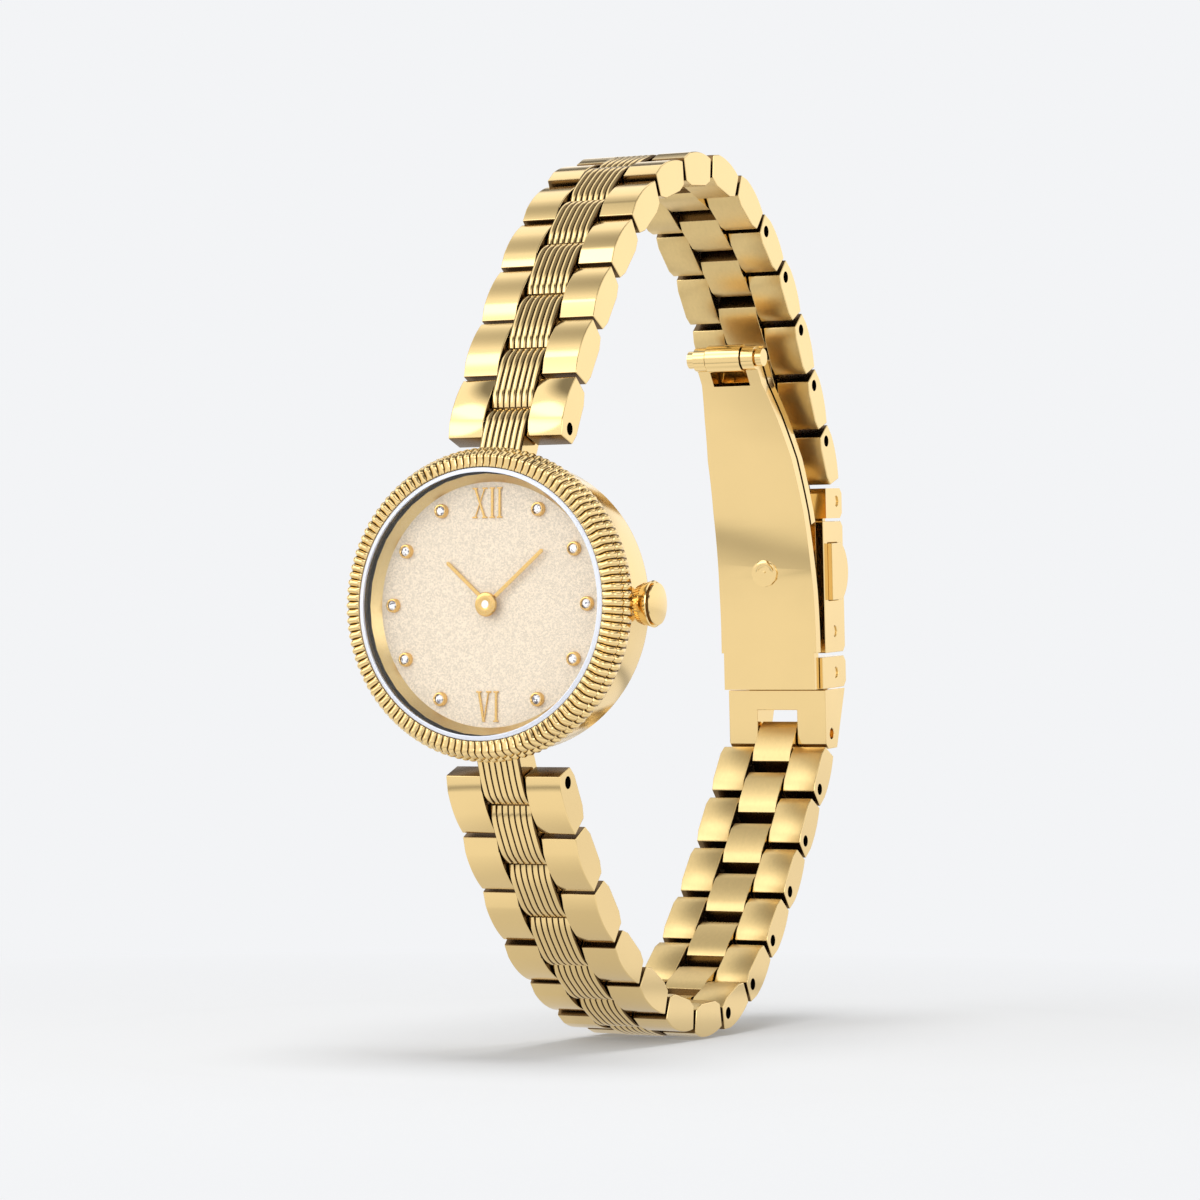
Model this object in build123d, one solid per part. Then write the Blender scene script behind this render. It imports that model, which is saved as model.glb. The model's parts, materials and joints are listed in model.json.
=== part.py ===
from build123d import *
from math import acos, atan2, cos, degrees, hypot, pi, radians, sin
import os

# A lady's quartz bracelet watch, closed on its clasp. X runs towards three
# o'clock, Z towards twelve and -Y out of the dial. The loop of the bracelet
# lies in the YZ plane. Lengths are millimetres and angles degrees.

# Case, measured along the watch's axis from the widest circle of the bezel
case_radius = 11.2
case_wall = 1.0
case_shoulder = 0.35
case_spigot_radius = case_radius - case_shoulder
case_back_y = 5.3
case_edge_bevel = 0.35
bezel_overhang = 0.8
bezel_radius = case_radius + bezel_overhang
bezel_rib_count = 120
bezel_rib_depth = 0.2
bezel_crest_inset = 0.75
bezel_crest_y = -1.5
bezel_flank_y = -0.45
bezel_flank_drop = 0.1
bezel_back_y = 0.9
crystal_inset = 0.51
crystal_radius = case_spigot_radius - crystal_inset
crystal_clearance = 0.06
crystal_edge_bevel = 0.3
crystal_front_y = -1.4
crystal_seat_y = -0.35
gasket_thickness = 0.12
gasket_width = 0.44
dial_clearance = 0.1
dial_radius = case_radius - case_wall - dial_clearance
dial_front_y = 0.45
dial_thickness = 0.4
flange_width = 0.75
back_rise = 1.2
back_slope_width = 1.6
back_plug_depth = 0.7
seal_thickness = 0.3
seal_width = 0.65

# Crown, on an axis parallel to X
crown_axis_y = 2.9
crown_radius = 1.8
crown_gap = 0.25
crown_start_x = case_radius + crown_gap
crown_barrel_length = 0.95
crown_groove_width = 0.15
crown_groove_depth = 0.22
crown_face_radius = 1.62
crown_dome_height = 0.45
crown_tube_radius = 0.95
stem_radius = 0.4
gate_clearance = 0.15
stem_inner_x = 4.6
stem_groove_x = 5.6
stem_groove_width = 0.4
setting_lever_width = 1.6
setting_lever_length = 3.4
crown_pull_travel = 0.8

# Dial furniture
marker_inset = 1.8
marker_cup_radius = 0.5
marker_cup_wall = 0.13
marker_cup_height = 0.4
marker_cup_sides = 8
hours = 12
stone_height = 0.16
stone_table_share = 0.55
numeral_inset = 2.35
numeral_height = 2.35
numeral_bar_width = 0.27
numeral_serif_length = 0.62
numeral_serif_width = 0.13
numeral_relief = 0.16
numeral_spacing = 0.62
hand_thickness = 0.12
hand_width = 0.3
hour_hand_length = 4.9
minute_hand_length = 6.3
hour_hand_y = 0.2
minute_hand_y = -0.1
hour_hand_angle = 312.0
minute_hand_angle = 49.0
hand_hub_radius = 0.62
hub_cap_radius = 0.34
hub_cap_height = 0.16

# Movement
ring_wall = 1.3
ring_outer_radius = dial_radius
plate_radius = ring_outer_radius - ring_wall
plate_front_y = 1.75
plate_thickness = 0.6
ring_front_y = 0.9
ring_back_y = 4.5
battery_radius = 3.4
battery_height = 2.0
battery_x = -3.6
battery_z = -3.4
coil_length = 6.4
coil_radius = 0.75
coil_core_width = 0.7
coil_overhang = 0.9
coil_x = -1.2
coil_z = 5.0
bridge_width = 6.4
bridge_length = 7.0
bridge_thickness = 0.5
bridge_foot = 0.75
bridge_x = 4.2
bridge_z = -4.4
rotor_radius = 0.6
rotor_x = 3.0
rotor_z = -1.6
gear_thickness = 0.22
works_y = 1.0
arbor_radius = 0.16
cannon_wall = 0.12
hour_tube_wall = 0.12
works_distance = 2.6
works_direction = 205.0
cannon_teeth = 8
minute_wheel_teeth = 24
minute_pinion_teeth = 7
hour_wheel_teeth = 28
tooth_reach_share = 0.75
tooth_root_share = 0.95
tooth_width_share = 0.36
tooth_tip_share = 0.6

# Bracelet
link_pitch = 5.44
link_count_upper = 14
link_count_lower = 13
bracelet_width = 9.8
centre_width = 3.6
side_clearance = 0.1
link_gap = 0.15
link_lead = 1.22
outer_end_rise = 0.95
outer_crown_rise = 1.48
facet_length = 1.15
facet_rise = 1.38
inner_end_drop = 0.95
inner_face_drop = 1.3
inner_chamfer = 0.95
end_taper = 0.33
centre_overhang = 1.5
centre_near_taper = 0.72
centre_far_taper = 0.36
rib_count = 7
rib_depth = 0.17
pin_radius = 0.49
press_clearance = 0.01
running_clearance = 0.05
open_pivot_clearance = 0.12
pin_recess = 0.7
drilled_upper = (1, 10, 11, 12, 13, 14)
drilled_lower = (1, 8, 9, 10, 11, 12, 13)
lug_pin_y = 4.1
lug_reach = 2.3
lug_pin_z = case_radius + lug_reach
lug_slope = 26.0
upper_bends = (6, 3, 7, 9, 19, 12, 19, 18, 9, 12, 6, 2, 1)
lower_bends = (7, 4, 13, 7, 15, 15, 20, 17, 8, 4, 3, 1)
upper_end_bend = 26.0
upper_end_pitch = 5.9
lower_end_pitch = 5.9

# Clasp, measured from its end hole: t runs up the clasp and n points outwards
clasp_width = 9.3
clasp_pin_radius = 0.5
upper_pin_t = 20.5
upper_pin_n = 2.15
end_piece_bottom_t = -1.3
end_piece_top_t = 3.9
end_piece_inner_n = -1.3
end_piece_outer_n = 3.2
end_piece_toe_n = 1.15
end_piece_notch_t = 2.15
seam_gap = 0.12
foot_top_t = 6.8
foot_inner_n = -1.75
foot_outer_n = 3.55
foot_pin_t = 5.34
foot_pin_n = 1.26
foot_corner = 0.5
foot_neck_inset = 1.05
cover_bottom_t = 7.15
cover_top_t = 18.75
cover_inner_n = -0.97
cover_outer_n = 3.5
cover_roof = 0.75
cover_wall = 0.8
cover_pin_t = 9.0
cover_pin_n = 1.2
blade_face_n = -2.9
blade_bend_t = 8.0
blade_curve_radius = 42.0
blade_thickness = 1.0
blade_end_turn = 36.0
blade_foot_inset = 0.32
blade_foot_relief = 0.45
blade_waist_share = (1.0, 0.99, 0.945, 0.876, 0.75, 0.62, 0.62)
blade_waist_t = (7.3, 12.6, 19.6, 24.3, 27.9, 30.8, 40.0)
blade_notch_depth = 2.35
fold_gap = 0.35
fold_thickness = 0.9
fold_foot_t = 18.6
knuckle_radius = 1.2
knuckle_width = 3.2
ear_radius = 1.05
knuckle_pin_radius = 0.55
knuckle_pin_knob = 0.75
knuckle_knob_length = 0.55
block_bottom_t = 19.0
block_top_t = 21.65
block_inner_n = -0.25
block_outer_n = 3.4
block_corner = 0.45
block_slot_clearance = 0.15
block_neck_inset = 1.15
spine_thickness = 0.6
spine_clearance = 0.55
spine_eye_length = 1.9
stud_t = 14.3
stud_radius = 0.5
stud_head_radius = 0.9
stud_head_height = 0.45
stud_top_n = 1.35
boss_radius = 1.2
boss_rise = 0.18
pusher_low_t = 11.8
pusher_high_t = 16.8
pusher_inner_n = 0.0
pusher_outer_n = 3.62
pusher_chin_n = 2.2
pusher_proud = 0.4
pusher_depth = 0.95
pusher_clearance = 0.06
pusher_travel = 0.45
latch_plate_thickness = 0.4
latch_plate_gap = 0.06
latch_plate_n = 0.1
latch_plate_length = 3.6
latch_reach = 2.0
latch_slot_side = 1.55
latch_slot_near = 1.5
latch_slot_far = 0.96
cut_overrun = 1.0
full_turn = 360.0

# Flats round what repeats or lies hidden, which keep the facets of the whole few
pin_sides = 8
post_sides = 12
disc_sides = 24
rim_sides = 36


def half(size):
    return size / 2


def turned(points):
    """A face in the XY plane from (radius, y) corners, spun about the watch's axis."""
    face = make_face(Polyline(*points, close=True))
    return revolve(face, Axis.Y)


def tube_y(outer, inner, front, back):
    """A ring about the watch's axis from y front to y back."""
    return turned([(inner, front), (outer, front), (outer, back), (inner, back)])


def disc_y(radius, front, back, x=0, z=0):
    """A disc that lies in an XZ plane."""
    length = back - front
    return Pos(x, front + half(length), z) * Rot(X=90) * Cylinder(radius, length)


def rod_x(radius, start, end, y=0, z=0):
    """A round rod parallel to X."""
    length = end - start
    return Pos(start + half(length), y, z) * Rot(Y=90) * Cylinder(radius, length)


def pin_x(radius, start, end, y=0, z=0, sides=pin_sides):
    """A pin parallel to X with flats, its corners at the radius."""
    outline = Plane.YZ * Pos(y, z) * RegularPolygon(radius, sides)
    return Pos(start, 0, 0) * extrude(outline, amount=end - start, dir=(1, 0, 0))


def bore_x(radius, start, end, y=0, z=0, sides=pin_sides):
    """What a bore parallel to X takes away, its flats at the radius so that a pin can turn."""
    return pin_x(radius / cos(pi / sides), start, end, y, z, sides)


def post_y(radius, front, back, x=0, z=0, sides=post_sides):
    """A post or disc about an axis parallel to Y with flats, its corners at the radius."""
    plane = Plane(origin=(x, back, z), x_dir=(1, 0, 0), z_dir=(0, -1, 0))
    return extrude(plane * RegularPolygon(radius, sides), amount=back - front)


def bore_y(radius, front, back, x=0, z=0, sides=post_sides):
    """What a bore parallel to Y takes away, its flats at the radius."""
    return post_y(radius / cos(pi / sides), front, back, x, z, sides)


def hidden_ring(outer, inner, front, back):
    """A ring that no one sees, with flats round both of its rims."""
    return post_y(outer, front, back, sides=rim_sides) - bore_y(inner, front, back, sides=rim_sides)


def block(x0, x1, y0, y1, z0, z1):
    """A box between two corners."""
    box = Box(x1 - x0, y1 - y0, z1 - z0)
    return Pos(half(x0 + x1), half(y0 + y1), half(z0 + z1)) * box


def slab_x(face, start, end):
    """A face drawn in the YZ plane, made solid between two values of x."""
    return Pos(start, 0, 0) * extrude(face, amount=end - start, dir=(1, 0, 0))


def side_face(points):
    """A face in the YZ plane from (y, z) corners."""
    return make_face(Plane.YZ * Polyline(*points, close=True))


def clasp_face(points):
    """A face in the YZ plane from the clasp's (t, n) corners."""
    return side_face([(-n, t) for t, n in points])


def clasp_slab(points, width):
    return slab_x(clasp_face(points), -half(width), half(width))


def clasp_rod(radius, start, end, t, n):
    return rod_x(radius, start, end, -n, t)


def clasp_pin(radius, start, end, t, n, sides=pin_sides):
    return pin_x(radius, start, end, -n, t, sides)


def clasp_bore(radius, start, end, t, n, sides=pin_sides):
    return bore_x(radius, start, end, -n, t, sides)


def clasp_hole(t, n):
    """The press-fit hole for a pin right across the clasp."""
    return clasp_pin(clasp_pin_radius + press_clearance, -clasp_width, clasp_width, t, n)


# Bezel, crystal and dial


def bezel_station(radius, y, depth):
    """One closed zigzag wire of the ribbed bezel."""
    steps = 2 * bezel_rib_count
    corners = []
    for step in range(steps):
        reach = radius - depth * (step % 2)
        angle = 2 * pi * step / steps
        corners.append((reach * sin(angle), y, reach * cos(angle)))
    return Polyline(*corners, close=True)


def bezel():
    """The ribbed ring, bored for the crystal and, behind that, for the neck of the case."""
    stations = [
        bezel_station(bezel_radius, bezel_back_y, bezel_rib_depth),
        bezel_station(bezel_radius - bezel_flank_drop, bezel_flank_y, bezel_rib_depth),
        bezel_station(bezel_radius - bezel_crest_inset, bezel_crest_y, bezel_rib_depth),
    ]
    faces = [make_face(wire.edges()) for wire in stations]
    ring = loft(faces, ruled=True)
    back = bezel_back_y + cut_overrun
    ring -= disc_y(crystal_radius + crystal_clearance, bezel_crest_y - cut_overrun, back)
    return ring - disc_y(case_spigot_radius, crystal_seat_y, back)


def crystal_thickness():
    return crystal_seat_y - crystal_front_y - gasket_thickness


def crystal():
    """A flat crystal with a bevelled rim."""
    front = crystal_front_y
    back = front + crystal_thickness()
    rim = crystal_radius - crystal_edge_bevel
    return turned([
        (0, front),
        (rim, front),
        (crystal_radius, front + crystal_edge_bevel),
        (crystal_radius, back),
        (0, back),
    ])


def crystal_gasket():
    """The gasket between the crystal and the rim of the case's neck."""
    front = crystal_seat_y - gasket_thickness
    return hidden_ring(crystal_radius, crystal_radius - gasket_width, front, crystal_seat_y)


def flange_ring():
    """The sloped ring between the crystal's gasket and the dial."""
    return turned([
        (dial_radius, crystal_seat_y),
        (dial_radius, dial_front_y),
        (dial_radius - flange_width, dial_front_y),
    ])


def dial():
    disc = post_y(dial_radius, dial_front_y, dial_front_y + dial_thickness, sides=rim_sides)
    hole = hour_tube_radius() + running_clearance
    return disc - bore_y(hole, dial_front_y - cut_overrun, dial_front_y + cut_overrun)


def marker_places():
    """The hours that carry a stone, as places on the dial. Twelve and six have numerals."""
    distance = dial_radius - marker_inset
    places = []
    for hour in range(hours):
        if hour not in (0, half(hours)):
            angle = 2 * pi * hour / hours
            places.append((distance * sin(angle), distance * cos(angle)))
    return places


def marker_cups():
    """Ten cups that stand on the dial."""
    top = dial_front_y - marker_cup_height
    bore = marker_cup_radius - marker_cup_wall
    cup = post_y(marker_cup_radius, top, dial_front_y, sides=marker_cup_sides)
    cup -= post_y(bore, top - cut_overrun, dial_front_y - stone_height, sides=marker_cup_sides)
    return [Pos(x, 0, z) * cup for x, z in marker_places()]


def marker_stones():
    """A cut stone in each cup: it tapers from the cup's floor to a table below the cup's rim."""
    floor = dial_front_y - stone_height
    table = dial_front_y - marker_cup_height + half(stone_height)
    radius = marker_cup_radius - marker_cup_wall - press_clearance
    outlines = []
    for y, size in ((floor, radius), (table, radius * stone_table_share)):
        plane = Plane(origin=(0, y, 0), x_dir=(1, 0, 0), z_dir=(0, -1, 0))
        outlines.append(plane * RegularPolygon(size, marker_cup_sides))
    stone = loft(outlines, ruled=True)
    return [Pos(x, 0, z) * stone for x, z in marker_places()]


def numeral_bar(x, lean, width):
    """One stroke of a numeral: lean is how far its top lies beside its foot."""
    low = -half(numeral_height)
    high = half(numeral_height)
    stroke = Polyline(
        (x - half(lean) - half(width), low),
        (x - half(lean) + half(width), low),
        (x + half(lean) + half(width), high),
        (x + half(lean) - half(width), high),
        close=True,
    )
    return make_face(stroke)


def serif(x, z):
    return Pos(x, z) * Rectangle(numeral_serif_length, numeral_serif_width)


def numeral_one(x):
    edge = half(numeral_height - numeral_serif_width)
    return numeral_bar(x, 0, numeral_bar_width) + serif(x, edge) + serif(x, -edge)


def numeral_five(x):
    edge = half(numeral_height - numeral_serif_width)
    lean = numeral_spacing
    strokes = numeral_bar(x - half(lean), -lean, numeral_bar_width)
    strokes += numeral_bar(x + half(lean), lean, numeral_serif_width)
    return strokes + serif(x - lean, edge) + serif(x + lean, edge)


def numeral_ten(x):
    edge = half(numeral_height - numeral_serif_width)
    lean = 2 * numeral_spacing
    strokes = numeral_bar(x, -lean, numeral_bar_width)
    strokes += numeral_bar(x, lean, numeral_serif_width)
    for side in (-1, 1):
        strokes += serif(x + side * half(lean), edge)
        strokes += serif(x + side * half(lean), -edge)
    return strokes


def dial_numerals():
    """The applied XII and VI, each stroke upright as the dial is read."""
    step = numeral_spacing
    twelve = numeral_ten(-2 * step) + numeral_one(half(step)) + numeral_one(2 * step)
    six = numeral_five(-step) + numeral_one(step + half(step))
    solids = []
    front = Plane(origin=(0, dial_front_y, 0), x_dir=(1, 0, 0), z_dir=(0, -1, 0))
    distance = dial_radius - numeral_inset
    for sketch, z in ((twelve, distance), (six, -distance)):
        raised = extrude(front * (Pos(0, z) * sketch), amount=numeral_relief)
        solids += list(raised.solids())
    return solids


# Hands and motion works


def cannon_radius():
    return arbor_radius + running_clearance + cannon_wall


def hour_tube_radius():
    return cannon_radius() + running_clearance + hour_tube_wall


def baton(length, y, angle, bore):
    """A slim straight hand with a pointed tip and a hub, turned to its angle from twelve."""
    side = half(hand_width)
    plane = Plane(origin=(0, y + hand_thickness, 0), x_dir=(1, 0, 0), z_dir=(0, -1, 0))
    outline = Polyline((-side, 0), (side, 0), (side, length - side), (0, length),
                       (-side, length - side), close=True)
    hand = extrude(plane * make_face(outline), amount=hand_thickness)
    hand += post_y(hand_hub_radius, y, y + hand_thickness)
    hand -= bore_y(bore, y - cut_overrun, y + cut_overrun)
    return Rot(Y=angle) * hand


def hour_hand():
    return baton(hour_hand_length, hour_hand_y, hour_hand_angle, hour_tube_radius())


def minute_hand():
    return baton(minute_hand_length, minute_hand_y, minute_hand_angle, cannon_radius())


def hub_cap():
    """The small pale cap on the end of the cannon pinion."""
    front = minute_hand_y - hub_cap_height
    cap = post_y(hub_cap_radius, front, minute_hand_y)
    return cap + post_y(arbor_radius, minute_hand_y, minute_hand_y + hand_thickness)


def gear(teeth, pitch_radius, front, thickness, turn):
    """A spur gear about Y with straight-sided teeth, one of them at the angle turn."""
    module = 2 * pitch_radius / teeth
    tip = pitch_radius + module * tooth_reach_share
    root = pitch_radius - module * tooth_root_share
    wide = pi * tooth_width_share / teeth
    corners = []
    for tooth in range(teeth):
        middle = radians(turn) + 2 * pi * tooth / teeth
        for reach, spread in ((root, -1), (tip, -tooth_tip_share), (tip, tooth_tip_share), (root, 1)):
            angle = middle + spread * wide * (2 - tooth_tip_share if reach == root else 1)
            corners.append((reach * sin(angle), reach * cos(angle)))
    plane = Plane(origin=(0, front + thickness, 0), x_dir=(1, 0, 0), z_dir=(0, -1, 0))
    return extrude(plane * make_face(Polyline(*corners, close=True)), amount=thickness)


def first_mesh_radius(teeth):
    return works_distance * teeth / (cannon_teeth + minute_wheel_teeth)


def second_mesh_radius(teeth):
    return works_distance * teeth / (minute_pinion_teeth + hour_wheel_teeth)


def works_centre():
    angle = radians(works_direction)
    return works_distance * sin(angle), works_distance * cos(angle)


def cannon_pinion():
    """The pinion that carries the minute hand, with its long tube."""
    level = works_y + gear_thickness + running_clearance
    teeth = gear(cannon_teeth, first_mesh_radius(cannon_teeth), level, gear_thickness, works_direction)
    tube = post_y(cannon_radius(), minute_hand_y, level)
    bore = bore_y(arbor_radius + running_clearance, minute_hand_y + hand_thickness, plate_front_y)
    mouth = post_y(arbor_radius + press_clearance, minute_hand_y - cut_overrun, minute_hand_y + cut_overrun)
    return teeth + tube - bore - mouth


def hour_wheel():
    """The wheel that carries the hour hand, on a tube round the cannon pinion."""
    half_tooth = half(full_turn / hour_wheel_teeth)
    turn = works_direction + half_tooth
    wheel = gear(hour_wheel_teeth, second_mesh_radius(hour_wheel_teeth), works_y, gear_thickness, turn)
    tube = post_y(hour_tube_radius(), hour_hand_y, works_y)
    bore = bore_y(cannon_radius() + running_clearance, hour_hand_y - cut_overrun, works_y + cut_overrun)
    return wheel + tube - bore


def minute_wheel():
    """The wheel and pinion between the cannon pinion and the hour wheel."""
    x, z = works_centre()
    level = works_y + gear_thickness + running_clearance
    back_turn = works_direction + half(full_turn)
    half_tooth = half(full_turn / minute_wheel_teeth)
    wheel = gear(minute_wheel_teeth, first_mesh_radius(minute_wheel_teeth), level,
                 gear_thickness, back_turn + half_tooth)
    pinion = gear(minute_pinion_teeth, second_mesh_radius(minute_pinion_teeth), works_y,
                  gear_thickness + running_clearance, back_turn)
    bore = bore_y(arbor_radius + running_clearance, works_y - cut_overrun, level + cut_overrun)
    return Pos(x, 0, z) * (wheel + pinion - bore)


def main_plate():
    """The movement's plate, with the posts that its motion works turn on."""
    x, z = works_centre()
    plate = post_y(plate_radius, plate_front_y, plate_front_y + plate_thickness)
    plate += post_y(arbor_radius, minute_hand_y + hand_thickness + running_clearance, plate_front_y)
    return plate + disc_y(arbor_radius, works_y, plate_front_y, x, z)


def movement_ring():
    """The plastic ring that centres the movement. It bears on the case at its corners."""
    ring = post_y(ring_outer_radius, ring_front_y, ring_back_y, sides=disc_sides)
    ring -= post_y(plate_radius + running_clearance, ring_front_y, ring_back_y)
    gate = stem_radius + gate_clearance
    return ring - bore_x(gate, 0, case_radius, crown_axis_y, 0, post_sides)


def battery():
    front = plate_front_y + plate_thickness
    return post_y(battery_radius, front, front + battery_height, battery_x, battery_z, disc_sides)


def coil():
    """The drive coil on its core, lying on the plate."""
    seat = plate_front_y + plate_thickness
    axis = seat + coil_radius
    left = coil_x - half(coil_length)
    right = coil_x + half(coil_length)
    winding = pin_x(coil_radius, left, right, axis, coil_z, post_sides)
    core = half(coil_core_width)
    ends = block(left - coil_overhang, right + coil_overhang, seat, axis + core, coil_z - core, coil_z + core)
    return winding + ends


def rotor():
    seat = plate_front_y + plate_thickness
    return post_y(rotor_radius, seat, seat + battery_height - bridge_thickness, rotor_x, rotor_z)


def train_bridge():
    """The bridge over the wheel train, on two feet."""
    seat = plate_front_y + plate_thickness
    top = seat + battery_height
    low = bridge_x - half(bridge_width)
    high = bridge_x + half(bridge_width)
    near = bridge_z - half(bridge_length)
    far = bridge_z + half(bridge_length)
    deck = block(low, high, top - bridge_thickness, top, near, far)
    left = block(low, low + bridge_foot, seat, top, near, near + bridge_foot)
    right = block(high - bridge_foot, high, seat, top, far - bridge_foot, far)
    deck = deck + left + right
    return deck & post_y(plate_radius, seat, top)


# Case


def zigzag(y_ridge, y_valley):
    """The ribbed front edge of a centre piece, as (x, y) corners from left to right."""
    width = centre_width / rib_count
    corners = []
    for rib in range(rib_count):
        left = -half(centre_width) + rib * width
        corners.append((left, y_valley))
        corners.append((left + half(width), y_ridge))
    corners.append((half(centre_width), y_valley))
    return corners


def ribbed_station(rise, drop, z_front, z_back):
    """A closed wire across a centre piece: ribs in front at z_front, flat back at z_back."""
    corners = []
    for x, y in zigzag(-rise, rib_depth - rise):
        lean = (y + rise) / (drop + rise)
        corners.append((x, y, z_front + lean * (z_back - z_front)))
    corners.append((half(centre_width), drop, z_back))
    corners.append((-half(centre_width), drop, z_back))
    return make_face(Polyline(*corners, close=True).edges())


def lug_tongue():
    """The ribbed tongue at twelve, in the frame of its hinge pin, pointing along Z."""
    far = centre_overhang - half(link_gap)
    root = -hypot(lug_pin_z, lug_pin_y) + case_radius
    stations = [
        ribbed_station(outer_crown_rise, inner_face_drop, root, root),
        ribbed_station(outer_crown_rise, inner_face_drop, -half(link_lead), -half(link_lead)),
        ribbed_station(outer_end_rise, inner_end_drop, far, far - centre_far_taper),
    ]
    return loft(stations, ruled=True)


def upper_lug_place():
    return Pos(0, lug_pin_y, lug_pin_z) * Rot(X=-lug_slope)


def lower_lug_place():
    return Pos(0, lug_pin_y, -lug_pin_z) * Rot(X=lug_slope) * Rot(Y=180)


def case_middle():
    """The band with its two lug tongues and the neck that carries bezel and crystal."""
    inner = case_radius - case_wall
    neck = case_spigot_radius - press_clearance
    band = turned([
        (inner, crystal_seat_y),
        (neck, crystal_seat_y),
        (neck, bezel_back_y),
        (case_radius, bezel_back_y),
        (case_radius, case_back_y - case_edge_bevel),
        (case_radius - case_edge_bevel, case_back_y),
        (inner, case_back_y),
    ])
    tongue = lug_tongue()
    for place in (upper_lug_place(), lower_lug_place()):
        band += place * tongue
    band -= disc_y(inner, crystal_seat_y, case_back_y)
    bezel_room = disc_y(bezel_radius + cut_overrun, bezel_crest_y, bezel_back_y)
    band -= bezel_room - disc_y(neck, bezel_crest_y, bezel_back_y)
    reach = half(bracelet_width)
    for side in (-1, 1):
        band -= bore_x(pin_radius + running_clearance, -reach, reach, lug_pin_y, side * lug_pin_z)
    tube = crown_tube_radius
    return band - pin_x(tube, 0, case_radius + cut_overrun, crown_axis_y, 0, post_sides)


def back_plug_radius():
    return case_radius - case_wall - running_clearance - seal_width


def case_back():
    """The press-in back, with a low flat face that lies on the wrist."""
    top = case_back_y + back_rise
    return turned([
        (0, case_back_y - back_plug_depth),
        (back_plug_radius(), case_back_y - back_plug_depth),
        (back_plug_radius(), case_back_y),
        (case_radius - case_edge_bevel, case_back_y),
        (case_radius - back_slope_width, top),
        (0, top),
    ])


def back_seal():
    """The seal round the plug of the back."""
    front = case_back_y - back_plug_depth
    outer = back_plug_radius() + seal_width
    return hidden_ring(outer, back_plug_radius(), front, front + seal_thickness)


def crown_tube():
    """The tube pressed into the band, which the stem runs through."""
    inner = case_radius - case_wall
    outer = crown_start_x - running_clearance
    tube = pin_x(crown_tube_radius - press_clearance, inner, outer, crown_axis_y, 0, post_sides)
    return tube - bore_x(stem_radius + running_clearance, 0, outer + cut_overrun, crown_axis_y, 0, post_sides)


def crown():
    """The polished crown, with the groove behind its domed face."""
    step = crown_start_x + crown_barrel_length
    lip = step + crown_groove_width
    rim = lip + crown_groove_width
    neck = crown_radius - crown_groove_depth
    sphere = (crown_face_radius ** 2 + crown_dome_height ** 2) / (2 * crown_dome_height)
    middle = half(crown_face_radius)
    dome = ThreePointArc(
        (rim, crown_face_radius),
        (rim + crown_dome_height - sphere + (sphere ** 2 - middle ** 2) ** 0.5, middle),
        (rim + crown_dome_height, 0),
    )
    rest = Polyline(
        (rim + crown_dome_height, 0),
        (crown_start_x, 0),
        (crown_start_x, crown_radius),
        (step, crown_radius),
        (step + half(crown_groove_width), neck),
        (lip, crown_face_radius),
        (rim, crown_face_radius),
    )
    profile = make_face(dome.edges() + rest.edges())
    return Pos(0, crown_axis_y, 0) * revolve(profile, Axis.X)


def stem():
    """The winding stem, with the groove that the setting lever holds."""
    groove_end = stem_groove_x + stem_groove_width
    rod = pin_x(half(stem_radius), stem_groove_x, groove_end, crown_axis_y, 0, post_sides)
    for start, end in ((stem_inner_x, stem_groove_x), (groove_end, crown_start_x)):
        rod += pin_x(stem_radius, start, end, crown_axis_y, 0, post_sides)
    return rod


def setting_lever():
    """The forked lever in the stem's groove, which slides with the crown."""
    low = stem_groove_x + running_clearance
    high = stem_groove_x + stem_groove_width - running_clearance
    seat = plate_front_y + plate_thickness + running_clearance
    arm = half(setting_lever_width)
    plate = block(low, high, seat, crown_axis_y + arm, -arm, setting_lever_length)
    slot = half(stem_radius) + running_clearance
    return plate - block(low - cut_overrun, high + cut_overrun, crown_axis_y - slot, crown_axis_y + slot,
                         -arm - cut_overrun, slot)


# Bracelet


def outer_profile():
    """A link's side in the frame of its pin: outwards is -Y and the chain runs along Z."""
    near = half(link_gap) - link_lead
    far = near + link_pitch - link_gap
    break_z = near + facet_length
    return side_face([
        (-outer_end_rise, near),
        (-facet_rise, break_z),
        (-outer_crown_rise, half(break_z + far) - half(link_lead)),
        (-outer_end_rise, far),
        (inner_end_drop, far - end_taper),
        (inner_face_drop, far - end_taper - inner_chamfer),
        (inner_face_drop, near + end_taper + inner_chamfer),
        (inner_end_drop, near + end_taper),
    ])


def outer_links(drilled):
    """The two outer pieces of a link, with the pin on which the link turns."""
    inside = half(centre_width) + side_clearance
    outside = half(bracelet_width)
    face = outer_profile()
    right = slab_x(face, inside, outside)
    left = slab_x(face, -outside, -inside)
    if not drilled:
        return [right + left + pin_x(pin_radius, -inside, inside)]
    hole = pin_x(pin_radius + press_clearance, -outside - cut_overrun, outside + cut_overrun)
    reach = outside - pin_recess
    return [right - hole, left - hole, pin_x(pin_radius, -reach, reach)]


def centre_link():
    """The arched and ribbed centre piece, which reaches past the next link's pin."""
    near = centre_overhang + half(link_gap)
    far = near + link_pitch - link_gap
    middle = half(near + far)
    stations = [
        ribbed_station(outer_end_rise, inner_end_drop, near, near + centre_near_taper),
        ribbed_station(outer_crown_rise, inner_face_drop, middle, middle),
        ribbed_station(outer_end_rise, inner_end_drop, far, far - centre_far_taper),
    ]
    return loft(stations, ruled=True)


def pivoted_centre():
    """A centre piece bored for the next link's pin."""
    return centre_link() - bore_x(pin_radius + running_clearance, -centre_width, centre_width, 0, link_pitch)


def last_lower_centre():
    """The centre piece that turns on the clasp's end pin."""
    bore = clasp_pin_radius + running_clearance
    return centre_link() - bore_x(bore, -centre_width, centre_width, 0, lower_end_pitch)


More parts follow.
